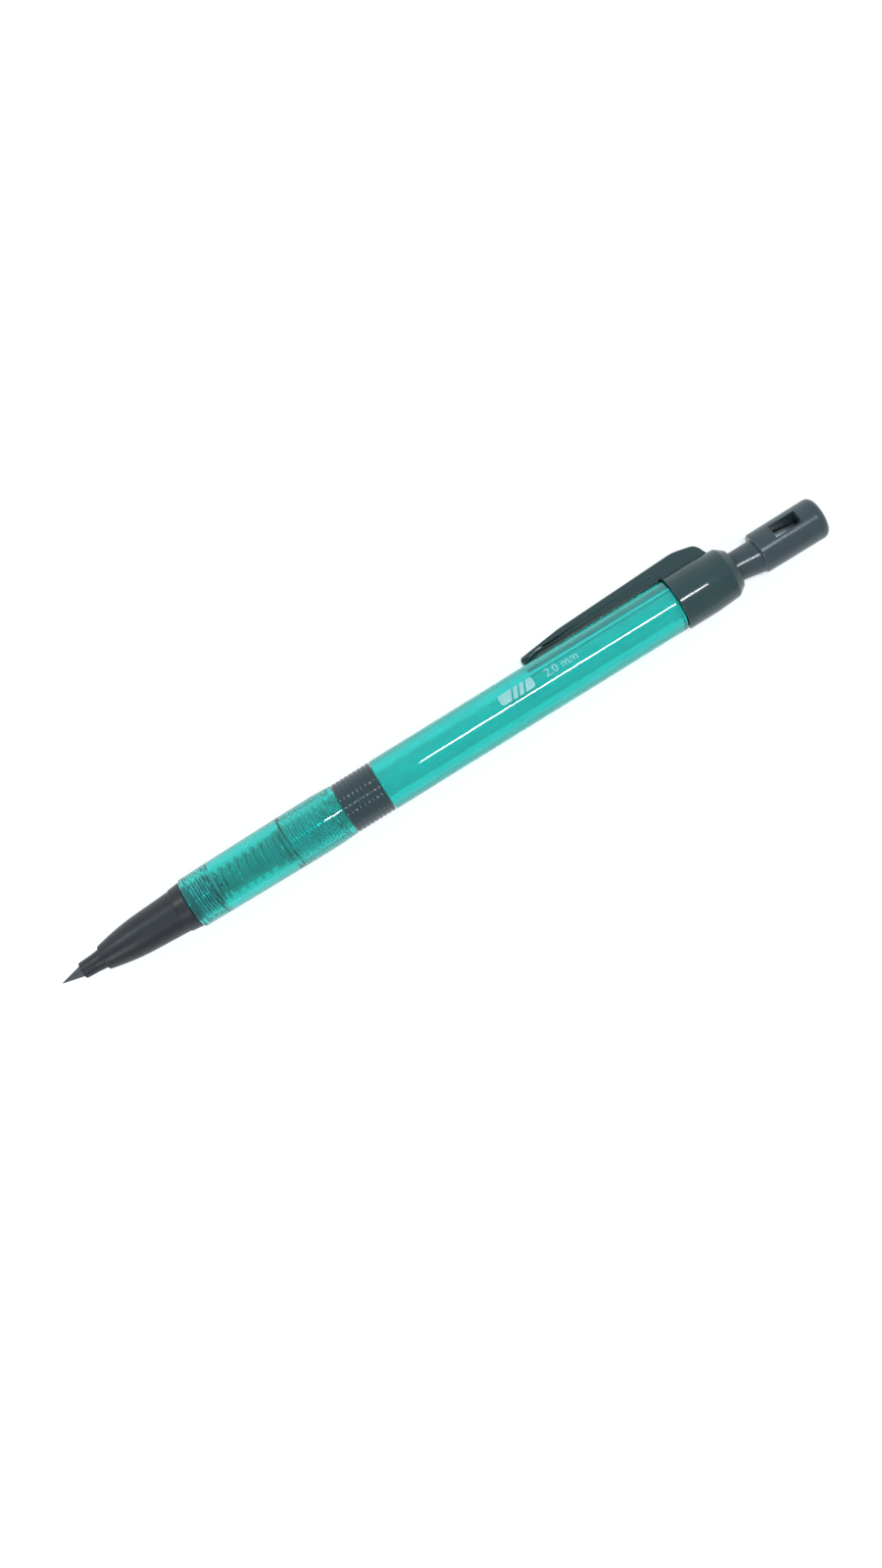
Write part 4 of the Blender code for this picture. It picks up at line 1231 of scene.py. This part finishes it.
def button_profile():
    """Plug, neck and cap, then the bore with the sharpener's cone."""
    start, end = front("push_button"), rear("push_button")
    cap = end - CAP_LENGTH
    neck = start + PLUG_LENGTH
    apex = slot_front() + SHARPENER_CONE
    outside = rounded([
        (start, LEAD_BORE, 0),
        (start, PLUG_RADIUS, 0.2 * MM),
        (neck, PLUG_RADIUS, 0),
        (neck, NECK_RADIUS, 0.15 * MM),
        (cap, NECK_RADIUS, 0.12 * MM),
        (cap, CAP_FRONT_RADIUS, CAP_FRONT_ROUND),
        (end, CAP_REAR_RADIUS, CAP_REAR_ROUND),
        (end, 0, 0),
    ], steps=8)
    bore = [
        (apex, 0),
        (apex, SHARPENER_POINT),
        (slot_front(), LEAD_BORE),
    ]
    return [*reversed(outside), *bore]


def slanted_block(start, end, sides, low, high, flat_top):
    """Block across the slot, whose floor follows the sharpener's cone."""
    slope = (LEAD_BORE - SHARPENER_POINT) / SHARPENER_CONE
    shape = bmesh.new()
    bmesh.ops.create_cube(shape, size=1.0)
    for vert in shape.verts:
        x = start if vert.co.x < 0 else end
        side = sides[0] if vert.co.y < 0 else sides[1]
        height = LEAD_BORE - (x - slot_front()) * slope + low
        if vert.co.z > 0:
            height = high if flat_top else height + high
        vert.co = placed(x, height, -side, SLOT_ROLL)
    bmesh.ops.recalc_face_normals(shape, faces=shape.faces)
    return shape


def flare_shape():
    """Eccentric cone that swells the neck on one side."""
    start = rear("clip_cap") + FLARE_SETBACK
    end = rear("push_button") - CAP_LENGTH + CAP_FRONT_ROUND
    shape = bmesh.new()
    bmesh.ops.create_cone(
        shape,
        cap_ends=True,
        segments=sizes().segments,
        radius1=FLARE_START_RADIUS,
        radius2=FLARE_RADIUS,
        depth=end - start,
    )
    for vert in shape.verts:
        if vert.co.z > 0:
            vert.co.y += FLARE_OFFSET * math.sin(FLARE_ROLL)
    turn = Matrix.Rotation(math.pi / 2, 3, "Y")
    bmesh.ops.rotate(shape, verts=shape.verts, cent=(0, 0, 0), matrix=turn)
    bmesh.ops.translate(shape, verts=shape.verts, vec=((start + end) / 2, AXIS_Y, AXIS_Z))
    return shape


class HOLDER_OT_button(bpy.types.Operator):
    """Makes the push button with its sharpener slot, and the blade in it"""

    bl_idname = "holder.button"
    bl_label = "Push button"

    def execute(self, context):
        button = as_object(spun(button_profile(), closed=False), "sharpener_push_button")
        button = combined(button, as_object(flare_shape(), "flare"), "UNION")
        edges = (-SLOT_WIDTH / 2, SLOT_WIDTH / 2)
        start = slot_front()
        slot = slanted_block(start, start + SLOT_LENGTH, edges, -SLOT_BITE, SLOT_TOP, True)
        button = combined(button, as_object(slot, "slot"), "DIFFERENCE")
        even_normals(button)
        black = black_plastic("satin_black_abs", colours().button, 0.16, 0.26, 0.003 * MM)
        settle(button, "push_button", "button", black)
        start, end = front("sharpener_blade"), rear("sharpener_blade")
        blade = slanted_block(start, end, BLADE_SIDES, BLADE_GAP - SLOT_BITE, BLADE_HEIGHT, False)
        steel = turned_metal("ground_blade_steel", colours().blade, 0.4, 0.55, 0.05 * MM, 0.004 * MM)
        eased(blade, list(blade.edges), BLADE_EDGE, 2)
        settle(as_object(blade, "ground_sharpener_blade"), "sharpener_blade", "button", steel)
        return {"FINISHED"}


# ---- add-on

PIECES = (
    HOLDER_OT_lead,
    HOLDER_OT_nose,
    HOLDER_OT_clutch,
    HOLDER_OT_spring,
    HOLDER_OT_grip,
    HOLDER_OT_ring,
    HOLDER_OT_barrel,
    HOLDER_OT_tube,
    HOLDER_OT_clip_cap,
    HOLDER_OT_button,
)


class HOLDER_PT_panel(bpy.types.Panel):
    """Lists the stage, the pieces and their sizes and colours"""

    bl_idname = "HOLDER_PT_panel"
    bl_label = "Lead Holder"
    bl_space_type = "VIEW_3D"
    bl_region_type = "UI"
    bl_category = "Lead Holder"

    def draw(self, context):
        for made in (HOLDER_OT_stage, *PIECES):
            self.layout.operator(made.bl_idname)
        for group in (context.scene.holder_sizes, context.scene.holder_colours):
            box = self.layout.box()
            for name in group.__annotations__:
                box.prop(group, name)


CLASSES = (HolderSizes, HolderColours, HOLDER_OT_stage, *PIECES, HOLDER_PT_panel)


def register():
    for item in CLASSES:
        bpy.utils.register_class(item)
    bpy.types.Scene.holder_sizes = PointerProperty(type=HolderSizes)
    bpy.types.Scene.holder_colours = PointerProperty(type=HolderColours)


def unregister():
    del bpy.types.Scene.holder_colours
    del bpy.types.Scene.holder_sizes
    for item in reversed(CLASSES):
        bpy.utils.unregister_class(item)


def main():
    register()
    bpy.ops.holder.stage()
    bpy.ops.holder.lead()
    bpy.ops.holder.nose()
    bpy.ops.holder.clutch()
    bpy.ops.holder.spring()
    bpy.ops.holder.grip()
    bpy.ops.holder.ring()
    bpy.ops.holder.barrel()
    bpy.ops.holder.tube()
    bpy.ops.holder.clip_cap()
    bpy.ops.holder.button()


if __name__ == "__main__":
    main()
